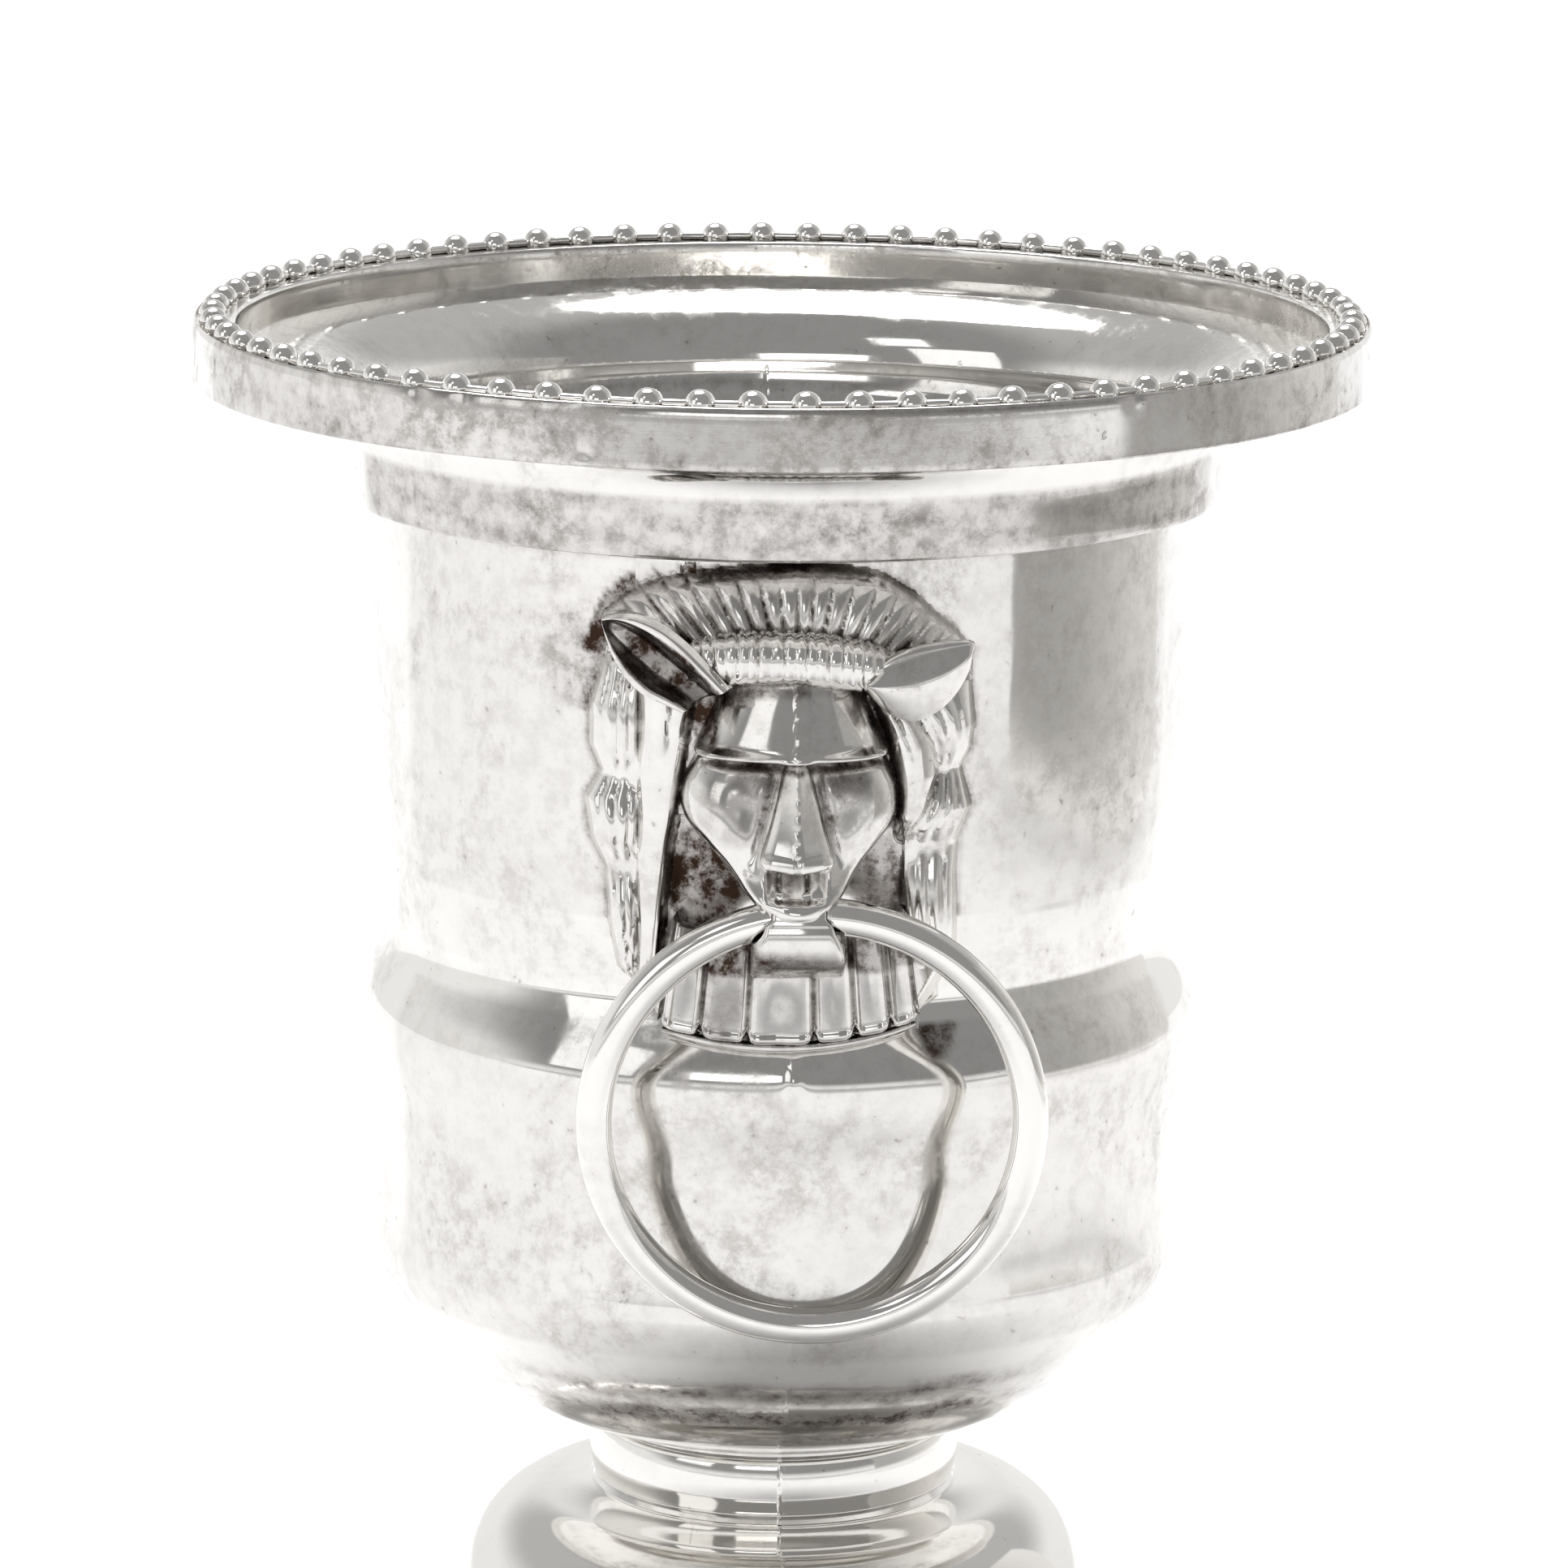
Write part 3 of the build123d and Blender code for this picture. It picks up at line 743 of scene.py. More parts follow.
def face_detail(u, z, half):
    """What is added to or cut from the face's plain section, in millimetres outwards: the forehead's
    two planes, the slot under the brow, dished cheeks, grooves beside the nose, the jaw's thick rim,
    the mouth with its two upright cuts, and the casting seam."""
    width = np.abs(u + 0.4)
    detail = -0.15 * width * smooth_step(193.2, 195.0, z)
    slot = hump(z, 192.1, 0.9) * smooth_step(1.4, 3.4, width) * (1 - smooth_step(12.5, 15.5, width))
    detail = detail - 2.2 * slot
    detail = detail - 1.1 * hump(width, 8.6, 3.6) * hump(z, 184.5, 6.0)
    side_groove = hump(width, np.interp(z, [176.0, 191.0], [6.9, 3.2]), 1.1) * smooth_step(173.5, 178.0, z)
    detail = detail - 1.3 * side_groove * (1 - smooth_step(190.0, 193.0, z))
    rim = hump(half - np.abs(u), 1.9, 1.3) * (1 - smooth_step(176.0, 181.0, z))
    rim = rim * smooth_step(168.0, 170.0, z)
    detail = detail + 0.8 * rim
    mouth = smooth_step(169.6, 170.9, z) * (1 - smooth_step(174.8, 175.8, z))
    mouth = mouth * (1 - smooth_step(3.9, 5.6, width))
    cuts = 0.8 * hump(u, -3.3, 0.4) + 0.9 * hump(u, 1.3, 0.38)
    detail = detail - mouth * (1.3 + cuts + 0.5 * smooth_step(171.5, 174.5, z))
    seam = hump(u, -0.4 + 0.15 * np.sin(z * 1.7), 0.32) * (0.7 + 0.3 * np.sin(z * 5.0))
    return detail + 0.42 * seam * smooth_step(176.0, 178.0, z)


def head():
    """Forehead, brow, cheeks and jaw: a section carried down the face's side view. Across a section
    the surface goes out as a power of the cosine, so a low power gives a square face and 1 a round
    one. The left half is a little wider than the right."""
    rows = eased(HEAD_PROFILE, 164)
    out, height, half, square = (rows[:, k, None] for k in range(4))
    bend = np.linspace(-math.pi / 2, math.pi / 2, 104)[None, :]
    side = 69.0
    wide = np.where(bend < 0, half * 1.05, half * 0.93)
    u = wide * np.sin(bend)
    w = side + (out - side) * np.clip(np.cos(bend), 0, 1) ** square
    z = height + 0 * u
    seen = np.arange(len(rows))[:, None] < len(rows) * 0.83
    w = w + face_detail(u, z, wide) * np.clip(np.cos(bend) * 4, 0, 1) * seen
    front = np.stack([u, -w, z], axis=-1)
    back = front[:, ::-1][:, 1:-1][:, ::8] * (1, 0, 1) + (0, -side + 0.5, 0)
    return loft(np.concatenate([front, back], axis=1))


def nose():
    """The nose: a wedge with a narrow flat ridge, widening down to a square lip over the mouth."""
    table = (
        # out, height, half width
        (82.0, 194.2, 1.4), (85.6, 192.9, 1.9), (86.5, 190.4, 2.6), (87.4, 186.5, 3.6), (88.4, 182.0, 4.7),
        (89.3, 178.4, 5.7), (89.7, 177.0, 6.1), (89.7, 176.2, 6.2), (89.0, 175.5, 6.0), (86.0, 175.1, 5.5),
        (82.0, 175.6, 4.8),
    )
    rows = eased(table, 90)
    out, height, half = (rows[:, k, None] for k in range(3))
    across = np.array((-1, -0.96, -0.85, -0.65, -0.45, -0.28, -0.2, -0.14, -0.08, -0.02, 0.04, 0.1, 0.16,
                       0.22, 0.3, 0.45, 0.65, 0.85, 0.96, 1.0))[None, :]
    u = half * across - 0.3
    fall = np.clip((np.abs(across) - 0.12) / 0.88, 0, 1)
    w = out - 3.3 * fall - 1.9 * np.clip((fall - 0.86) / 0.14, 0, 1) ** 2
    ragged = 0.6 + 0.4 * np.sin(height * 4.3) * np.sin(height * 1.7)
    w = w + 0.5 * hump(across, -0.02, 0.07) * smooth_step(177, 179, height) * ragged
    w = w + 0.5 * smooth_step(178.4, 177.2, height) * (fall > 0)
    z = height - 0.35 * (1 - np.abs(across))
    front = np.stack([u, -w, z], axis=-1)
    back = np.stack([u[:, ::-1], -78.0 + 0 * u, z[:, ::-1]], axis=-1)[:, 1:-1]
    return loft(np.concatenate([front, back], axis=1))


def ear(upper, lower, front, section):
    """An ear between its upper and lower edges, each a table of (u, z) from root to tip. front gives
    how far out the edges lie along the ear and section how far the face stands out from them."""
    steps, seen, hidden = 64, 46, 10
    upper, lower = eased(upper, steps), eased(lower, steps)
    t = np.linspace(0.0, 1.0, steps)[:, None]
    b = np.concatenate([np.linspace(0.0, 1.0, seen), np.linspace(1.0, 0.0, hidden + 2)[1:-1]])[None, :]
    face = np.concatenate([np.ones(seen), np.zeros(hidden)])[None, :]
    u = lower[:, :1] * (1 - b) + upper[:, :1] * b
    z = lower[:, 1:] * (1 - b) + upper[:, 1:] * b
    w = np.where(face > 0, front(t) + section(b, t), 71.5 + 3.0 * t)
    return loft(np.stack([u, -w, z], axis=-1))


def left_ear():
    """The left ear: a leaf with a thick rolled rim round a deep hollow, pointed at its tip and open
    where it runs into the fringe."""

    def section(b, t):
        """The rims' two rolls and the hollow between them."""
        rolls = 1.7 * hump(b, 0.86, 0.13) + 1.0 * hump(b, 0.08, 0.08)
        hollow = smooth_step(0.12, 0.3, b) * (1 - smooth_step(0.56, 0.76, b))
        return (rolls - 5.6 * hollow * (0.65 + 0.35 * np.sin(math.pi * t))) * (1 - t**5)

    return ear(EAR_UPPER_EDGE[::-1], EAR_LOWER_EDGE[::-1], lambda t: 81.6 - 3.9 * t**1.3, section)


def right_ear():
    """The right ear: a broad wedge of two flat facets that meet in a ridge from tip to root."""
    upper = ((11.4, 206.6), (14.4, 209.4), (18.4, 211.2), (22.4, 212.0), (25.6, 212.2), (28.0, 212.0),
             (29.0, 211.4))
    lower = ((11.0, 204.0), (14.4, 200.6), (18.6, 198.9), (22.6, 200.3), (25.8, 203.2), (28.0, 207.0),
             (29.0, 210.8))

    def section(b, t):
        """Two facets that meet above the middle, hollowed a little, with a narrow raised edge."""
        facets = 2.6 * (1 - (np.abs(b - 0.5) / 0.5) ** 1.5)
        return (facets + 0.4 * hump(b, 0.95, 0.06)) * (1 - t**4) * (1 - 0.25 * t)

    return ear(upper, lower, lambda t: 80.4 - 3.2 * t**1.4, section)


LUG_OUTLINE = (
    # direction seen from the bore, in degrees (0 straight out, 90 up), and distance to the outline
    (-180, 13.5), (-150, 15.0), (-128, 13.2), (-112, 11.6), (-90, 9.2), (-65, 7.9), (-40, 6.7), (-20, 5.8),
    (-5, 5.2), (12, 5.1), (25, 5.1), (45, 5.1), (70, 5.2), (100, 5.6), (135, 7.4), (160, 12.0), (180, 13.5),
)


def lug():
    """The tongue under the chin and the eye behind it that the ring hangs in: an outline drawn round
    the bore, at a distance that depends on the direction, carried across and rounded at its sides."""
    steps, bore, soft, fine = 150, 4.3, 0.9, 0.4
    angle = np.linspace(-math.pi, math.pi, steps, endpoint=False)[:, None]
    outer = read_off(LUG_OUTLINE, np.degrees(angle))
    hole = bore + fine + 0 * angle
    low = smooth_step(0.0, 1.0, -np.sin(angle))
    half = 4.6 + 1.1 * smooth_step(-0.25, 0.1, -np.sin(angle)) + 2.0 * low**1.5
    corner = np.linspace(0, math.pi / 2, 5)
    radial = np.concatenate([
        outer - soft + soft * np.sin(corner), outer - soft + soft * np.sin(corner[::-1]),
        hole - fine * np.sin(corner), hole - fine * np.sin(corner[::-1])], axis=1)
    lateral = np.concatenate([
        -half + soft - soft * np.cos(corner), half - soft + soft * np.cos(corner[::-1]),
        half - fine + fine * np.cos(corner), -half + fine - fine * np.cos(corner[::-1])], axis=1)
    w = PIVOT_OUT + radial * np.cos(angle)
    z = PIVOT_HEIGHT + radial * np.sin(angle)
    keel = (1 - np.abs(lateral) / half) * np.clip(radial - bore - 0.5, 0.0, 1.0)
    w = w + 0.35 * keel * np.clip(np.cos(angle), 0, 1)
    z = z - 1.5 * keel * np.clip(-np.sin(angle), 0, 1)
    points = np.stack([lateral, -w, z], axis=-1).reshape(-1, 3)
    return points, outward(points, quads(steps, radial.shape[1], wrap_rows=True, wrap_columns=True))


def mask_surface(side):
    """The whole lion mask, for the front (side 1) or turned half round for the back (side -1)."""
    parts = together(relief_sheet(outer_wall()), petal_collar(), petal_ledge(), fringe_roll(), head(),
                     nose(), lug(), left_ear(), right_ear())
    return parts[0] * (side, side, 1), parts[1]


def patch(u, z, centre, size):
    """1 well inside an ellipse, fading to 0 at its edge."""
    away = np.hypot((u - centre[0]) / size[0], (z - centre[1]) / size[1])
    return 1 - smooth_step(0.6, 1.0, away)


def mask_tarnish_and_shade(u, out, z):
    """Tarnish and painted shade on a mask. Tarnish: a thin film everywhere, deep beside the jaw and under
    the collar's ends, in the left ear, along the hairline, under the brow, beside the nose and among the
    strands. Painted shade: the dished second petal from the left made darker."""
    film = 0.14 + 0.12 * patch(u, z, (0.0, 150.0), (26.0, 16.0)) + 0.1 * (out < 80.0) * (z > 207.0)
    left_jaw = patch(u, z, (-15.0, 170.0), (8.4, 13.5))
    right_jaw = 0.75 * patch(u, z, (14.0, 170.0), (6.0, 10.0))
    jaws = np.maximum(left_jaw, right_jaw) * (1 - smooth_step(76.0, 79.5, out))
    below, over = read_off(EAR_UPPER_EDGE, u) - z, z - read_off(EAR_LOWER_EDGE, u)
    in_ear = smooth_step(2.0, 3.0, below) * smooth_step(0.9, 1.7, over) * (u < -12.5) * (u > -31.5)
    left_fan = patch(u, z, (-17.0, 217.0), (17.0, 7.5)) * (1 - 0.6 * smooth_step(0.35, 0.8, strands(u, z)))
    crown = hump(z - read_off(FAN_EDGE, u), 0.0, 1.0) * (u < 20.0) * (z > 209.0)
    hairline = hump(z, 204.4 - 0.012 * u**2, 1.2) * (np.abs(u) < 14.0) * (out < 84.0)
    temples = patch(u, z, (-15.2, 200.0), (3.2, 9.0)) + 0.7 * patch(u, z, (13.5, 199.0), (2.2, 7.0))
    width = np.abs(u + 0.4)
    brow = hump(z, 191.4, 0.75) * (width < 15.5)
    beside_nose = hump(width, np.interp(z, [176.0, 191.0], [7.0, 3.7]), 1.3) * (z > 175.0) * (z < 191.5)
    sockets = patch(u, z, (-6.5, 189.0), (6.0, 3.4)) + 1.1 * patch(u, z, (7.0, 189.0), (6.5, 3.6))
    return np.maximum.reduce([
        film,
        1.05 * jaws,
        (1.0 - 0.35 * smooth_step(-27.0, -30.0, u)) * in_ear,
        0.95 * left_fan * (out < 80.0),
        0.75 * crown,
        np.where(u < 2.0, 0.85, 0.4) * hairline,
        0.95 * temples * (out < 82.0),
        # painted shade: the dished second petal from the left darkened at its top and down its middle
        0.95 * patch(u, z, (-11.0, 158.5), (8.0, 6.0)),
        0.5 * patch(u, z, (-12.0, 150.0), (4.6, 11.0)),
        0.8 * patch(u, z, (13.0, 158.5), (9.0, 5.0)),
        0.9 * brow,
        0.95 * beside_nose * smooth_step(174.0, 184.0, z),
        0.6 * sockets,
        0.33 * patch(u, z, (-11.0, 184.0), (8.0, 8.0)) * (out > 79.0),
        0.7 * patch(u, z, (-3.0, 173.8), (2.8, 2.2)),
    ])


def rim_stain(u, out, z):
    """The dull film on the rim's upright band, lighter on the right, with a dark line under its upper
    edge at the front and another along its foot."""
    film = 0.36 - 0.15 * smooth_step(10.0, 60.0, u) + 0.07 * np.sin(u * 0.11 + z * 0.4)
    under_edge = hump(z, 253.6, 0.35) * (1 - smooth_step(45.0, 75.0, np.abs(u)))
    foot = hump(z, 244.0, 0.4)
    return np.maximum.reduce([np.where(out > 101.0, film, 0.12), 0.5 * under_edge, 0.5 * foot])


def round_mask_stain(u, z):
    """Tarnish on the wall round a mask: a dark border at its upper left, thinner down its sides and on
    the right, and a dark patch beside the collar's right end."""
    over = z - read_off(FAN_EDGE, u)
    edge = np.where(u < 0, -u - read_off(LEFT_EDGE, z), u - read_off(RIGHT_EDGE, z))
    upper_left = (1 - smooth_step(2.0, 4.0, over)) * smooth_step(-37.5, -34.5, u) * (z > 207.0)
    crown = (1 - smooth_step(0.2, 1.4, over)) * (np.abs(u) < 30.0) * (z > 207.0)
    sides = (1 - smooth_step(0.0, 1.3, edge)) * (z > 150) * (z < 209)
    high_left = (1 - smooth_step(0.4, 3.4, edge)) * (z > 197) * (z < 212) * (u < 0)
    return np.maximum.reduce([
        upper_left * (1 - smooth_step(0.0, 12.0, u)),
        0.55 * crown,
        0.6 * sides,
        0.85 * high_left,
        0.95 * patch(u, z, (24.0, 147.5), (4.6, 11.0)),
        0.4 * patch(u, z, (-37.0, 206.0), (5.0, 12.0)),
    ])


def wall_tarnish_and_shade(u, out, z):
    """Tarnish and painted shade on the body. Tarnish: a thin film that deepens towards the neck, what
    surrounds the masks, a duller neck, and a dark line in the crease under it. Painted shade: dark bands
    under the bowl, in front and behind, in place of the foot and the shadow under the bucket seen in its
    reflection."""
    film = 0.15 + 0.05 * smooth_step(150.0, 215.0, z)
    wall = np.maximum(round_mask_stain(u, z), film)
    on_wall_face = (out > 69.6) & (out < 76.5) & (z < 224.6)
    wander = 0.6 * np.sin(u * 0.14) + 0.3 * np.sin(u * 0.37 + 1.0)
    # painted shade: dark bands low on the bowl, in front and behind only, standing in for the reflected foot
    # and the shadow under the bucket
    painted_bowl_shade = 0.8 * hump(z + wander, 79.5, 1.7) + 0.95 * hump(z + wander, 73.6, 2.8) + 0.7 * hump(z, 67.6, 2.0)
    painted_bowl_shade = painted_bowl_shade * (1 - smooth_step(24.0, 54.0, np.abs(u))) * (out > 35.0)
    mottled = 0.46 + 0.14 * np.sin(u * 0.23) * np.sin(z * 1.1 + u * 0.05)
    neck = np.where((z > 224.4) & (out > 70.0), mottled, 0.0)
    neck = np.where((z > 236.0) | (out < 74.0) & (z > 226.5), 0.22, neck)
    inside = (out < np.interp(z, [224.0, 233.0, 243.0, 247.6], [69.6, 76.0, 86.0, 94.0])) & (z > 150.0)
    return np.maximum.reduce([
        np.where(on_wall_face, wall, 0.0),
        np.where(z < 84.0, painted_bowl_shade, 0.0),
        np.where(inside, 0.05, neck),
        0.55 * hump(z, 224.2, 0.7) * (out > 70.0),
    ])


def paint_tarnish_and_shade(piece, tarnish_and_shade):
    """Store a function of (u, out, z) on a mesh as a number from 0 to 1 at each point: tarnish, and on the
    body and the masks painted shade as well. Each half of the bucket is read in its own mask's coordinates."""
    mesh = piece.data
    points = np.empty(len(mesh.vertices) * 3)
    mesh.vertices.foreach_get("co", points)
    x, y, z = points.reshape(-1, 3).T / MM
    across = np.where(y < 0, x, -x)
    value = np.where(np.abs(y) > 30.0, tarnish_and_shade(across, np.hypot(x, y), z), 0.0)
    attribute = mesh.attributes.new("tarnish_and_shade", "FLOAT", "POINT")
    attribute.data.foreach_set("value", np.clip(value, 0, 1).astype(np.float32))


# ---------------------------------------------------------------------------------------------
# Materials
# ---------------------------------------------------------------------------------------------


def node(tree, kind, place, inputs=None, **settings):
    """Add one shader node with its settings and, by name or number, the values of its inputs."""
    made = tree.nodes.new(kind)
    made.location = place
    for key, value in settings.items():
        setattr(made, key, value)
    for socket, value in (inputs or {}).items():
        made.inputs[socket].default_value = value
    return made


def math_node(tree, operation, first, second, place=(400, 0)):
    """A math node on two sockets or numbers."""
    made = node(tree, "ShaderNodeMath", place, operation=operation)
    for k, value in enumerate((first, second)):
        if isinstance(value, (int, float)):
            made.inputs[k].default_value = value
        else:
            tree.links.new(value, made.inputs[k])
    return made.outputs[0]


def ramp_node(tree, source, levels, place):
    """A value eased from one level to another while source goes from low to high. levels are low and
    high, and the two values if they are not 0 and 1."""
    inputs = dict(zip(("From Min", "From Max", "To Min", "To Max"), levels))
    made = node(tree, "ShaderNodeMapRange", place, inputs, interpolation_type="SMOOTHSTEP")
    tree.links.new(source, made.inputs["Value"])
    return made.outputs["Result"]


def group_socket(tree, name, direction, kind="NodeSocketFloat", value=None):
    """Add one socket to a node group."""
    socket = tree.interface.new_socket(name=name, in_out=direction, socket_type=kind)
    if value is not None:
        socket.default_value = value
    return socket


def silver_wear_group():
    """Node group: cloudy patches, speckle, fine scratches and tarnish of silver plate, and painted shade
    where its recess input carries it, darkened towards the tarnish colour. It puts out a colour, a roughness
    and a height."""
    existing = bpy.data.node_groups.get("silver_wear")
    if existing:
        return existing
    tree = bpy.data.node_groups.new("silver_wear", "ShaderNodeTree")
    for name, value in (("Cloud Amount", 0.5), ("Speckle", 0.3), ("Scratch", 0.3), ("Darkening", 0.0),
                        ("Polish", 0.06), ("Cloud Roughness", 0.3)):
        group_socket(tree, name, "INPUT", value=value)
    group_socket(tree, "Vector", "INPUT", "NodeSocketVector")
    group_socket(tree, "Silver", "INPUT", "NodeSocketColor", (0.9, 0.9, 0.88, 1))
    group_socket(tree, "Cloudy", "INPUT", "NodeSocketColor", (0.7, 0.7, 0.68, 1))
    group_socket(tree, "Tarnish and Shade Colour", "INPUT", "NodeSocketColor", (0.05, 0.03, 0.02, 1))
    group_socket(tree, "Color", "OUTPUT", "NodeSocketColor")
    group_socket(tree, "Roughness", "OUTPUT")
    group_socket(tree, "Height", "OUTPUT")
    link = tree.links.new
    given = tree.nodes.new("NodeGroupInput")
    result = tree.nodes.new("NodeGroupOutput")

    def noise(scale, detail, rough, low, high, distortion=0.0):
        """A noise pattern stretched between two levels."""
        pattern = node(tree, "ShaderNodeTexNoise", (0, 0), {
            "Scale": scale, "Detail": detail, "Roughness": rough, "Distortion": distortion})
        link(given.outputs["Vector"], pattern.inputs["Vector"])
        return ramp_node(tree, pattern.outputs["Fac"], (low, high), (200, 0))

    def maths(operation, first, second):
        """A math node of this group."""
        return math_node(tree, operation, first, second)

    def mixed(factor, first, second):
        """A colour mix."""
        made = node(tree, "ShaderNodeMix", (600, 0), data_type="RGBA")
        link(factor, made.inputs["Factor"])
        link(first, made.inputs[6])
        link(second, made.inputs[7])
        return made.outputs[2]

    broad = noise(34.0, 5.0, 0.62, 0.42, 0.64, 0.8)
    fine = noise(260.0, 5.0, 0.75, 0.38, 0.66)
    grain = noise(1500.0, 2.0, 0.7, 0.45, 0.75)
    spots = noise(520.0, 2.0, 0.5, 0.7, 0.78)
    cloud = maths("MULTIPLY", maths("MULTIPLY", broad, maths("ADD", maths("MULTIPLY", fine, 0.85), 0.15)),
                  given.outputs["Cloud Amount"])
    clouded = mixed(cloud, given.outputs["Silver"], given.outputs["Cloudy"])
    spotted = maths("MULTIPLY", spots, given.outputs["Speckle"])
    stained = mixed(maths("MULTIPLY", spotted, 0.6), clouded, given.outputs["Tarnish and Shade Colour"])
    # the recess amount is tarnish, with painted shade from the stored attribute on the body and masks
    uneven = maths("MULTIPLY", given.outputs["Darkening"], maths("ADD", maths("MULTIPLY", fine, 0.55), 0.6))
    recess = node(tree, "ShaderNodeClamp", (700, 0))
    link(uneven, recess.inputs["Value"])
    final = mixed(recess.outputs[0], stained, given.outputs["Tarnish and Shade Colour"])
    link(final, result.inputs["Color"])

    rough = maths("ADD", given.outputs["Polish"], maths("MULTIPLY", cloud, given.outputs["Cloud Roughness"]))
    rough = maths("ADD", rough, maths("MULTIPLY", maths("MULTIPLY", grain, cloud), 0.12))
    rough = maths("ADD", rough, maths("MULTIPLY", maths("POWER", recess.outputs[0], 2.0), 0.45))
    link(rough, result.inputs["Roughness"])

    scratches = node(tree, "ShaderNodeTexNoise", (0, -400), {
        "Scale": 30.0, "Detail": 8.0, "Roughness": 0.85})
    stretch = node(tree, "ShaderNodeMapping", (-200, -400), {"Scale": (1.0, 1.0, 14.0)})
    link(given.outputs["Vector"], stretch.inputs["Vector"])
    link(stretch.outputs[0], scratches.inputs["Vector"])
    height = maths("ADD", maths("MULTIPLY", scratches.outputs["Fac"], given.outputs["Scratch"]),
                   maths("MULTIPLY", grain, maths("MULTIPLY", cloud, 0.3)))
    height = maths("SUBTRACT", height, maths("MULTIPLY", spotted, 0.8))
    link(height, result.inputs["Height"])
    return tree


def silver_material(name, finish, cloud, speckle, scratch, bump, recess=0.0, polish=None):
    """Silver plate with its own amount of wear. recess darkens hollows with tarnish, on top of the tarnish
    and painted shade stored on the mesh as a point attribute."""
    material = bpy.data.materials.new(name)
    material.use_nodes = True
    tree = material.node_tree
    tree.nodes.clear()
    link = tree.links.new
    shader = node(tree, "ShaderNodeBsdfPrincipled", (600, 0), {"Metallic": 1.0, "IOR": 1.5})
    output = node(tree, "ShaderNodeOutputMaterial", (900, 0))
    link(shader.outputs[0], output.inputs["Surface"])
    place = node(tree, "ShaderNodeTexCoord", (-600, 0))
    wear = node(tree, "ShaderNodeGroup", (200, 0), {
        "Cloud Amount": cloud,
        "Speckle": speckle,
        "Scratch": scratch,
        "Polish": finish.polish if polish is None else polish,
        "Cloud Roughness": 0.3,
        "Silver": (*finish.silver, 1.0),
        "Cloudy": (*finish.cloudy, 1.0),
        "Tarnish and Shade Colour": (*finish.tarnish_and_shade_colour, 1.0),
    }, node_tree=silver_wear_group())
    link(place.outputs["Object"], wear.inputs["Vector"])
    # the stored attribute holds tarnish, and on the body and masks painted shade too
    painted = node(tree, "ShaderNodeAttribute", (-300, -100), attribute_name="tarnish_and_shade")
    hollow = node(tree, "ShaderNodeAmbientOcclusion", (-300, -300), {"Distance": 0.004},
                  samples=6, only_local=True)
    dark = ramp_node(tree, hollow.outputs["AO"], (0.82, 0.25, 0.0, recess), (-100, -300))
    link(math_node(tree, "MAXIMUM", dark, painted.outputs["Fac"], (50, -200)), wear.inputs["Darkening"])
    raised = node(tree, "ShaderNodeBump", (400, -200), {"Strength": bump, "Distance": 0.0002})
    link(wear.outputs["Height"], raised.inputs["Height"])
    link(wear.outputs["Color"], shader.inputs["Base Color"])
    link(wear.outputs["Roughness"], shader.inputs["Roughness"])
    link(raised.outputs[0], shader.inputs["Normal"])
    return material


def brass_material(finish):
    """Bare turned brass for the hidden fastenings: faint lathe rings in its height."""
    material = bpy.data.materials.new("bare_brass")
    material.use_nodes = True
    tree = material.node_tree
    shader = tree.nodes["Principled BSDF"]
    shader.inputs["Metallic"].default_value = 1.0
    place = node(tree, "ShaderNodeTexCoord", (-800, 0))
    rings = node(tree, "ShaderNodeTexWave", (-500, 0), {"Scale": 900.0, "Distortion": 1.5},
                 wave_type="RINGS", rings_direction="Z")
    patina = node(tree, "ShaderNodeTexNoise", (-500, -250), {"Scale": 180.0})
    colour = node(tree, "ShaderNodeValToRGB", (-250, -250))
    colour.color_ramp.elements[0].color = (*[c * 0.55 for c in finish.brass], 1)
    colour.color_ramp.elements[1].color = (*finish.brass, 1)
    raised = node(tree, "ShaderNodeBump", (-250, 0), {"Strength": 0.2, "Distance": 0.0001})
    rough = node(tree, "ShaderNodeMapRange", (-250, -450), {"To Min": 0.22, "To Max": 0.5})
    link = tree.links.new
    link(place.outputs["Object"], rings.inputs["Vector"])
    link(place.outputs["Object"], patina.inputs["Vector"])
    link(rings.outputs["Fac"], raised.inputs["Height"])
    link(patina.outputs["Fac"], colour.inputs["Fac"])
    link(patina.outputs["Fac"], rough.inputs["Value"])
    link(colour.outputs[0], shader.inputs["Base Color"])
    link(rough.outputs[0], shader.inputs["Roughness"])
    link(raised.outputs[0], shader.inputs["Normal"])
    return material


# ---------------------------------------------------------------------------------------------
# Operators
# ---------------------------------------------------------------------------------------------


class BUCKET_OT_body(bpy.types.Operator):
    """Build the body: flare, neck, waist moulding, wall and bowl"""

    bl_idname = "bucket.body"
    bl_label = "Body"

    def execute(self, context):
        shape, finish = context.scene.bucket_shape, context.scene.bucket_finish
        material = silver_material("wall_silver", finish, 0.6, 0.5, 0.1, 0.06, recess=0.6)
        surface = turned(joined(outer_wall(), inner_wall()), seam_angles(150, near=33.0), body_shift(shape))
        piece = make_piece("body_shell", surface, "bucket", material, ("bucket_body",))
        paint_tarnish_and_shade(piece, wall_tarnish_and_shade)
        return {"FINISHED"}


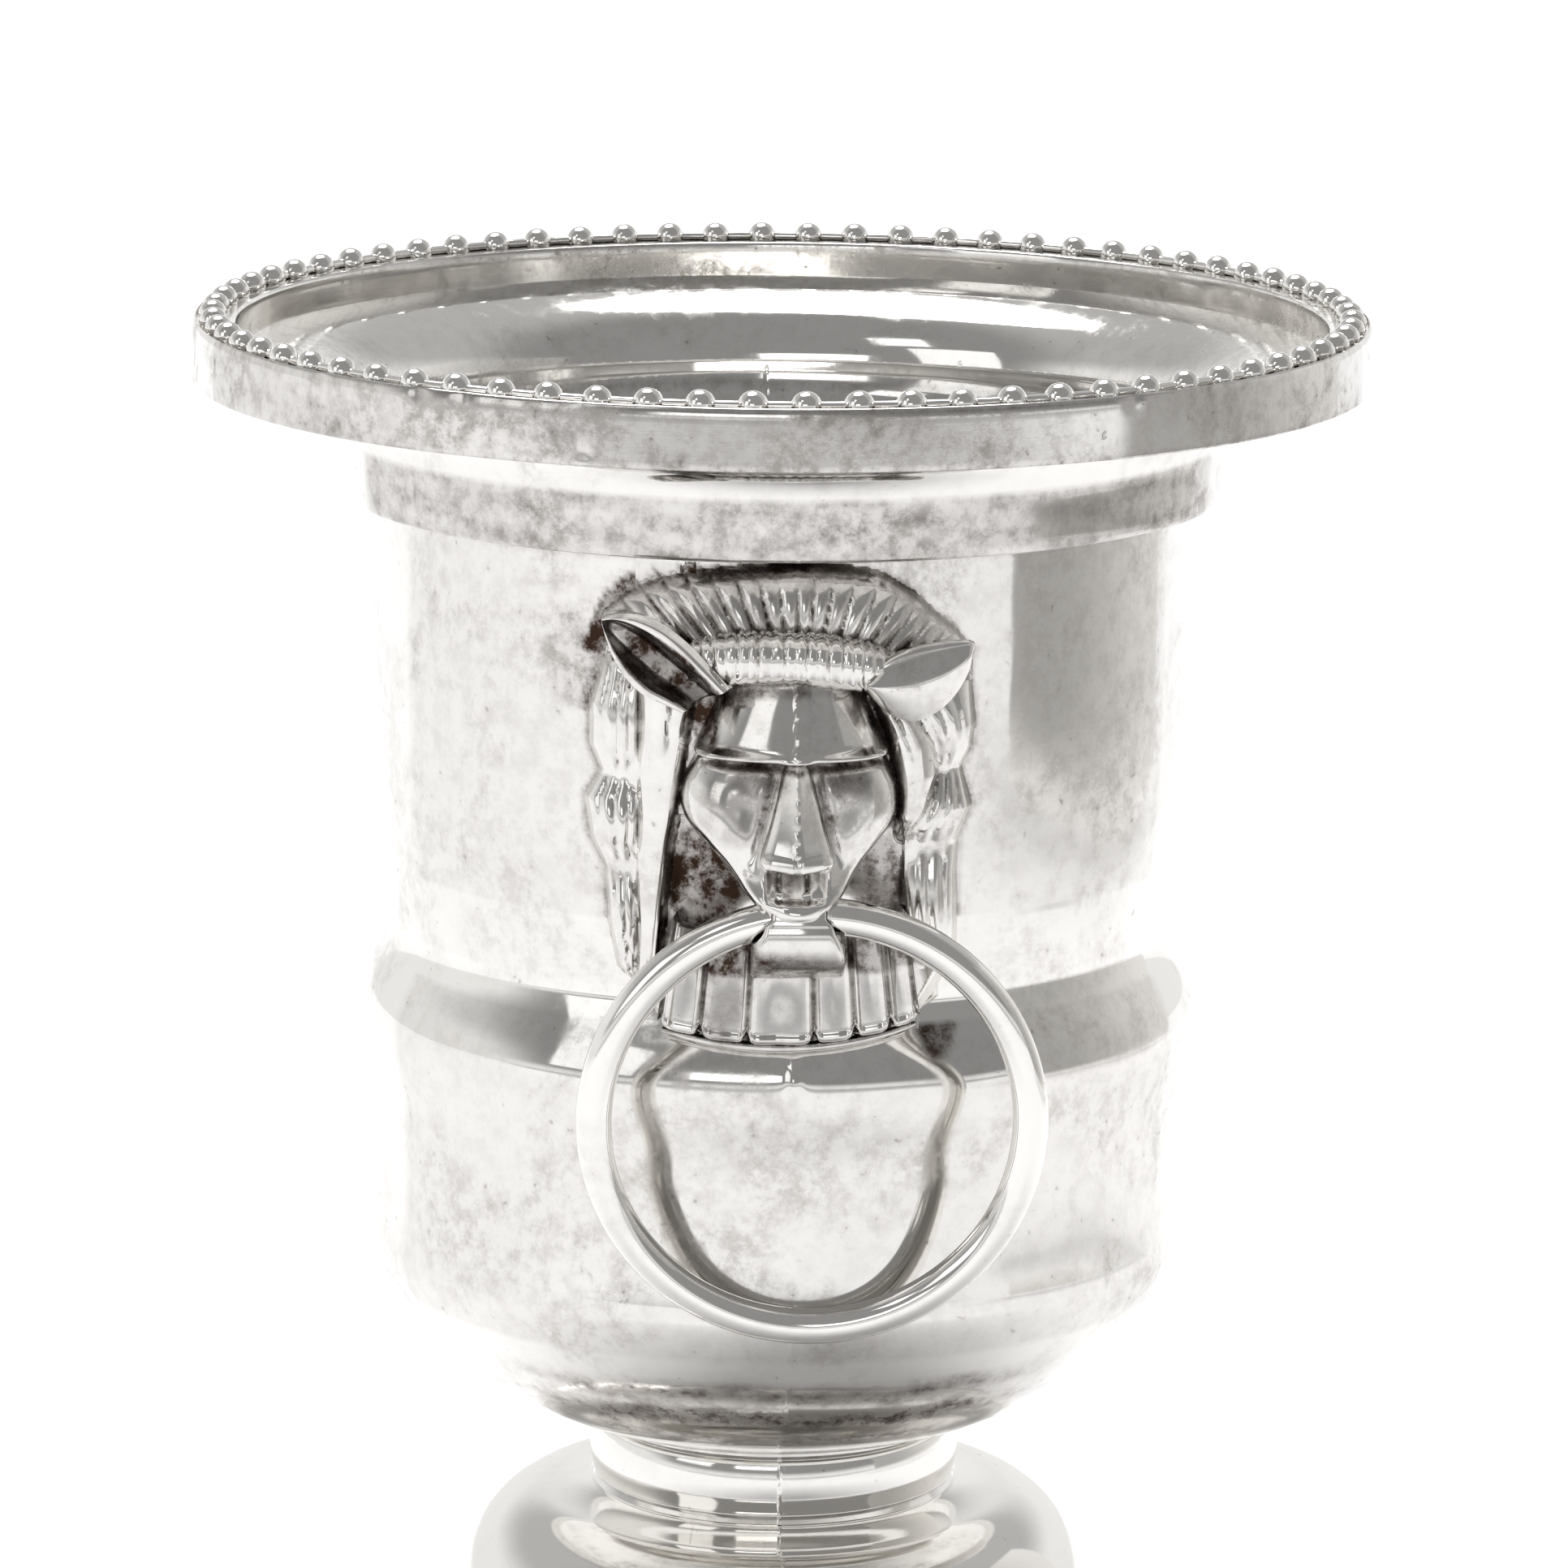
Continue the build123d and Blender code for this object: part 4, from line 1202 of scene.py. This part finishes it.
class BUCKET_OT_rim(bpy.types.Operator):
    """Build the rim channel and the beaded wire on it"""

    bl_idname = "bucket.rim"
    bl_label = "Rim and Beads"

    def execute(self, context):
        shape, finish = context.scene.bucket_shape, context.scene.bucket_finish
        angles = np.linspace(-math.pi, math.pi, 720, endpoint=False)
        channel = silver_material("rim_silver", finish, 1.0, 0.5, 0.25, 0.2, recess=0.6)
        beads = silver_material("bead_silver", finish, 0.25, 0.2, 0.1, 0.1, recess=0.6)
        surface = turned(rim_profile(), angles, rim_shift)
        piece = make_piece("rim_channel", surface, "bucket", channel, ("rim_border",))
        paint_tarnish_and_shade(piece, rim_stain)
        make_piece("rim_beaded_wire", bead_string(shape), "bucket", beads, ("rim_beads",))
        return {"FINISHED"}


class BUCKET_OT_masks(bpy.types.Operator):
    """Carve the two lion masks"""

    bl_idname = "bucket.masks"
    bl_label = "Lion Masks"

    def execute(self, context):
        finish = context.scene.bucket_finish
        material = silver_material("mask_silver", finish, 0.85, 0.6, 0.1, 0.1, recess=0.9, polish=0.08)
        for side, where in ((1, "front"), (-1, "back")):
            piece = make_piece(f"lion_mask_{where}_carved", mask_surface(side), "bucket",
                               material, (f"lion_mask_{where}",), sharp=math.radians(50))
            paint_tarnish_and_shade(piece, mask_tarnish_and_shade)
        return {"FINISHED"}


class BUCKET_OT_rings(bpy.types.Operator):
    """Hang the two ring handles in their lugs"""

    bl_idname = "bucket.rings"
    bl_label = "Ring Handles"

    def execute(self, context):
        material = silver_material("ring_silver", context.scene.bucket_finish, 0.3, 0.3, 0.2, 0.15)
        for side, where, shift in ((1, "front", 2.8), (-1, "back", 0.0)):
            make_piece(f"ring_{where}", ring_surface(side, shift), f"{where}_ring", material,
                       (f"ring_handle_{where}",))
        return {"FINISHED"}


class BUCKET_OT_foot(bpy.types.Operator):
    """Build the collar, the domed foot, its base ring and the hidden fastenings"""

    bl_idname = "bucket.foot"
    bl_label = "Collar and Foot"

    def execute(self, context):
        shape, finish = context.scene.bucket_shape, context.scene.bucket_finish
        material = silver_material("foot_silver", finish, 0.12, 0.3, 0.15, 0.15, recess=0.6)
        angles = seam_angles(280)
        pieces = (
            ("collar", collar_profile(), collar_shift(shape), "stem_collar"),
            ("foot", foot_profile(), foot_shift(shape), "foot_dome"),
            ("foot_base_ring", base_profile(), None, "base_ring"),
        )
        for name, profile, shift, node_name in pieces:
            make_piece(name, turned(profile, angles, shift), "bucket", material, (node_name,))
        brass = brass_material(finish)
        for name in ("stem_stud", "foot_washer", "foot_nut"):
            fastening = frame["nodes"][name]
            fastening.data.materials.clear()
            fastening.data.materials.append(brass)
        return {"FINISHED"}


WINDOWS = (
    # name, place, size and power as a share of the window setting
    ("window_left", (-1.75, -1.3, 1.0), (1.0, 1.1), 1.25),
    ("window_right", (-0.45, -2.3, 0.76), (1.25, 0.42), 1.0),
    ("window_high", (-1.05, -1.25, 1.75), (0.5, 0.5), 0.42),
)


class BUCKET_OT_stage(bpy.types.Operator):
    """Lay the pale floor, light it softly and set the camera"""

    bl_idname = "bucket.stage"
    bl_label = "Studio"

    def execute(self, context):
        light = context.scene.bucket_light
        make_floor(light)
        make_world(light)
        add_overhead(light.key)
        for name, place, size, share in WINDOWS:
            add_panel(name, place, size, light.window * share)
        make_glowing_grey_card()
        make_camera()
        context.scene.view_settings.view_transform = "Standard"
        return {"FINISHED"}


def new_sheet(name, corners, material):
    """A flat sheet between four corners."""
    mesh = bpy.data.meshes.new(name)
    mesh.from_pydata(corners, [], [(0, 1, 2, 3)])
    mesh.materials.append(material)
    sheet = bpy.data.objects.new(name, mesh)
    bpy.context.scene.collection.objects.link(sheet)
    return sheet


def make_floor(light):
    """A wide pale floor with painted shade: darker towards the camera and beyond it, in place of light
    falling off away from the bucket.
    """
    material = bpy.data.materials.new("pale_floor")
    material.use_nodes = True
    tree = material.node_tree
    link = tree.links.new
    shader = tree.nodes["Principled BSDF"]
    shader.inputs["Roughness"].default_value = 0.65
    place = node(tree, "ShaderNodeTexCoord", (-700, 0))
    grain = node(tree, "ShaderNodeTexNoise", (-500, 0), {"Scale": 3.0})
    shade = node(tree, "ShaderNodeValToRGB", (-250, 0))
    shade.color_ramp.elements[0].color = (*[c * 0.985 for c in light.floor], 1)
    shade.color_ramp.elements[1].color = (*light.floor, 1)
    split = node(tree, "ShaderNodeSeparateXYZ", (-500, -250))
    painted_falloff = node(tree, "ShaderNodeVectorMath", (-50, 0), operation="SCALE")
    link(place.outputs["Object"], grain.inputs["Vector"])
    link(place.outputs["Object"], split.inputs[0])
    # painted shade: the floor's colour is scaled down to half between 0.85 m and 1.75 m towards the camera,
    # in place of light falling off
    near = ramp_node(tree, split.outputs["Y"], (-1.75, -0.85, 0.5, 1.0), (-250, -250))
    link(grain.outputs["Fac"], shade.inputs["Fac"])
    link(shade.outputs[0], painted_falloff.inputs[0])
    link(near, painted_falloff.inputs["Scale"])
    link(painted_falloff.outputs[0], shader.inputs["Base Color"])
    reach = 9.0
    corners = ((-reach, -reach, 0), (reach, -reach, 0), (reach, reach, 0), (-reach, reach, 0))
    floor = new_sheet("studio_floor", corners, material)


def make_world(light):
    """Surroundings by direction: bright near the horizon, greyer above it, and dark on the camera's
    side, where y - z / 2 is low. Each step is an eased ramp."""
    world = bpy.data.worlds.new("studio")
    world.use_nodes = True
    tree = world.node_tree
    link = tree.links.new
    background = tree.nodes["Background"]
    place = node(tree, "ShaderNodeTexCoord", (-1000, 0))
    split = node(tree, "ShaderNodeSeparateXYZ", (-800, 0))
    link(place.outputs["Generated"], split.inputs[0])

    wall = ramp_node(tree, split.outputs["Z"], (0.22, 0.5, light.walls, light.walls * 0.55), (-600, 0))
    high = ramp_node(tree, split.outputs["Z"], (0.03, 0.14), (-600, -250))
    lowered = math_node(tree, "MULTIPLY", split.outputs["Z"], -0.5, (-700, -400))
    depth = math_node(tree, "ADD", split.outputs["Y"], lowered, (-650, -500))
    near = ramp_node(tree, depth, (-0.55, -0.05, 1.0, 0.0), (-600, -500))
    dark = math_node(tree, "MULTIPLY", high, near, (-400, -300))
    mix = node(tree, "ShaderNodeMix", (-200, 0), {3: light.ceiling}, data_type="FLOAT")
    link(dark, mix.inputs["Factor"])
    link(wall, mix.inputs[2])
    link(mix.outputs[0], background.inputs["Strength"])
    background.inputs["Color"].default_value = (1.0, 0.995, 0.985, 1)
    bpy.context.scene.world = world


def make_glowing_grey_card():
    """A grey card standing to the right that glows though it is no lamp: near black, its emission is painted
    light, lighter towards the back and at its foot, in place of the lamps and the floor lighting it. Only
    reflections show it."""
    material = bpy.data.materials.new("glowing_grey_card")
    material.use_nodes = True
    tree = material.node_tree
    link = tree.links.new
    shader = tree.nodes["Principled BSDF"]
    shader.inputs["Roughness"].default_value = 0.8
    # painted light: the card is near black and shines by its own emission instead of being lit
    shader.inputs["Base Color"].default_value = (0.02, 0.02, 0.02, 1)
    shader.inputs["Emission Color"].default_value = (1.0, 0.985, 0.96, 1)
    place = node(tree, "ShaderNodeTexCoord", (-700, 0))
    split = node(tree, "ShaderNodeSeparateXYZ", (-500, 0))
    link(place.outputs["Object"], split.inputs[0])
    # painted light: the card's glow grows towards its back
    shade = ramp_node(tree, split.outputs["Y"], (-0.2, 0.42, 0.43, 0.85), (-300, 0))
    # painted light: near its foot the glow rises to 0.95, in place of the bright floor lighting it, so its
    # lower edge melts into the floor
    foot = ramp_node(tree, split.outputs["Z"], (0.025, 0.07), (-300, -250))
    glow_strength = node(tree, "ShaderNodeMix", (-100, 0), {2: 0.95}, data_type="FLOAT")
    link(foot, glow_strength.inputs["Factor"])
    link(shade, glow_strength.inputs[3])
    link(glow_strength.outputs[0], shader.inputs["Emission Strength"])
    corners = ((0.62, -0.33, 0.025), (0.6, 0.42, 0.025), (0.6, 0.42, 0.5), (0.62, -0.33, 0.5))
    card = new_sheet("glowing_grey_card", corners, material)
    card.visible_camera = False


def add_overhead(strength):
    """The broad light overhead, a little behind the bucket: a sun 40 degrees wide, so the floor is lit
    evenly however far it runs."""
    data = bpy.data.lights.new("overhead", "SUN")
    data.energy = strength
    data.angle = math.radians(40.0)
    lamp = bpy.data.objects.new("overhead", data)
    bpy.context.scene.collection.objects.link(lamp)
    lamp.rotation_euler = (math.radians(-24.0), math.radians(-5.0), 0.0)


def add_panel(name, place, size, power):
    """A rectangular soft light that faces the bucket."""
    data = bpy.data.lights.new(name, "AREA")
    data.energy = power
    data.shape = "RECTANGLE"
    data.size, data.size_y = size
    lamp = bpy.data.objects.new(name, data)
    bpy.context.scene.collection.objects.link(lamp)
    lamp.location = place
    lamp.visible_camera = False
    lamp.rotation_euler = (Vector((0, 0, 0.2)) - lamp.location).to_track_quat("-Z", "Y").to_euler()


def make_camera():
    """The camera: a long lens a little above the rim, close enough to crop the foot. It is placed from
    where the middle of the beads' circle lies in its view. Lengths in the view are in 1932nds of its
    width, the others in metres."""
    width, focal, centre_x, centre_y = 1932.0, 10124.9, 959.5, 384.5
    rim_radius, bead_height = 0.098, 0.2548
    distance, elevation = 14.47 * rim_radius, math.radians(8.536)
    roll, turn = math.radians(0.481), math.radians(-2.3)
    pitch = elevation + math.atan((width / 2 - centre_y) / focal)
    yaw = -math.atan((centre_x - width / 2) / focal)
    eye = Vector((0.0, -distance * math.cos(elevation), distance * math.sin(elevation)))
    ahead = Vector((math.sin(yaw) * math.cos(pitch), math.cos(yaw) * math.cos(pitch), -math.sin(pitch)))
    right = Vector((math.cos(yaw), -math.sin(yaw), 0.0))
    up = right.cross(ahead)
    tilted_right = right * math.cos(roll) + up * math.sin(roll)
    tilted_up = -right * math.sin(roll) + up * math.cos(roll)
    data = bpy.data.cameras.new("studio_camera")
    data.lens = focal / width * data.sensor_width
    data.clip_start, data.clip_end = 0.05, 60.0
    camera = bpy.data.objects.new("studio_camera", data)
    bpy.context.scene.collection.objects.link(camera)
    pose = Matrix.Identity(4)
    for column, axis in enumerate((tilted_right, tilted_up, -ahead)):
        for row in range(3):
            pose[row][column] = axis[row]
    pose.translation = eye
    spin = Matrix.Rotation(turn, 4, "Z")
    camera.matrix_world = Matrix.Translation((0, 0, bead_height)) @ spin @ pose
    bpy.context.scene.camera = camera


class BUCKET_PT_panel(bpy.types.Panel):
    """Sidebar panel that lists the settings and the steps"""

    bl_label = "Champagne Bucket"
    bl_idname = "BUCKET_PT_panel"
    bl_space_type = "VIEW_3D"
    bl_region_type = "UI"
    bl_category = "Bucket"

    def draw(self, context):
        """Settings first, then one button a step."""
        for group in (context.scene.bucket_shape, context.scene.bucket_finish, context.scene.bucket_light):
            box = self.layout.box()
            for name in group.__annotations__:
                box.prop(group, name)
        for step in STEPS:
            self.layout.operator(step.bl_idname)


STEPS = (BUCKET_OT_body, BUCKET_OT_rim, BUCKET_OT_masks, BUCKET_OT_rings, BUCKET_OT_foot, BUCKET_OT_stage)
CLASSES = (BucketShape, SilverFinish, StudioLight, *STEPS, BUCKET_PT_panel)


def register():
    """Register the classes and hang the settings on the scene."""
    for item in CLASSES:
        bpy.utils.register_class(item)
    bpy.types.Scene.bucket_shape = bpy.props.PointerProperty(type=BucketShape)
    bpy.types.Scene.bucket_finish = bpy.props.PointerProperty(type=SilverFinish)
    bpy.types.Scene.bucket_light = bpy.props.PointerProperty(type=StudioLight)


def unregister():
    """Take the settings and classes away again."""
    del bpy.types.Scene.bucket_light
    del bpy.types.Scene.bucket_finish
    del bpy.types.Scene.bucket_shape
    for item in reversed(CLASSES):
        bpy.utils.unregister_class(item)


def main():
    register()
    for step in STEPS:
        module, operator = step.bl_idname.split(".")
        getattr(getattr(bpy.ops, module), operator)()


if __name__ == "__main__":
    main()
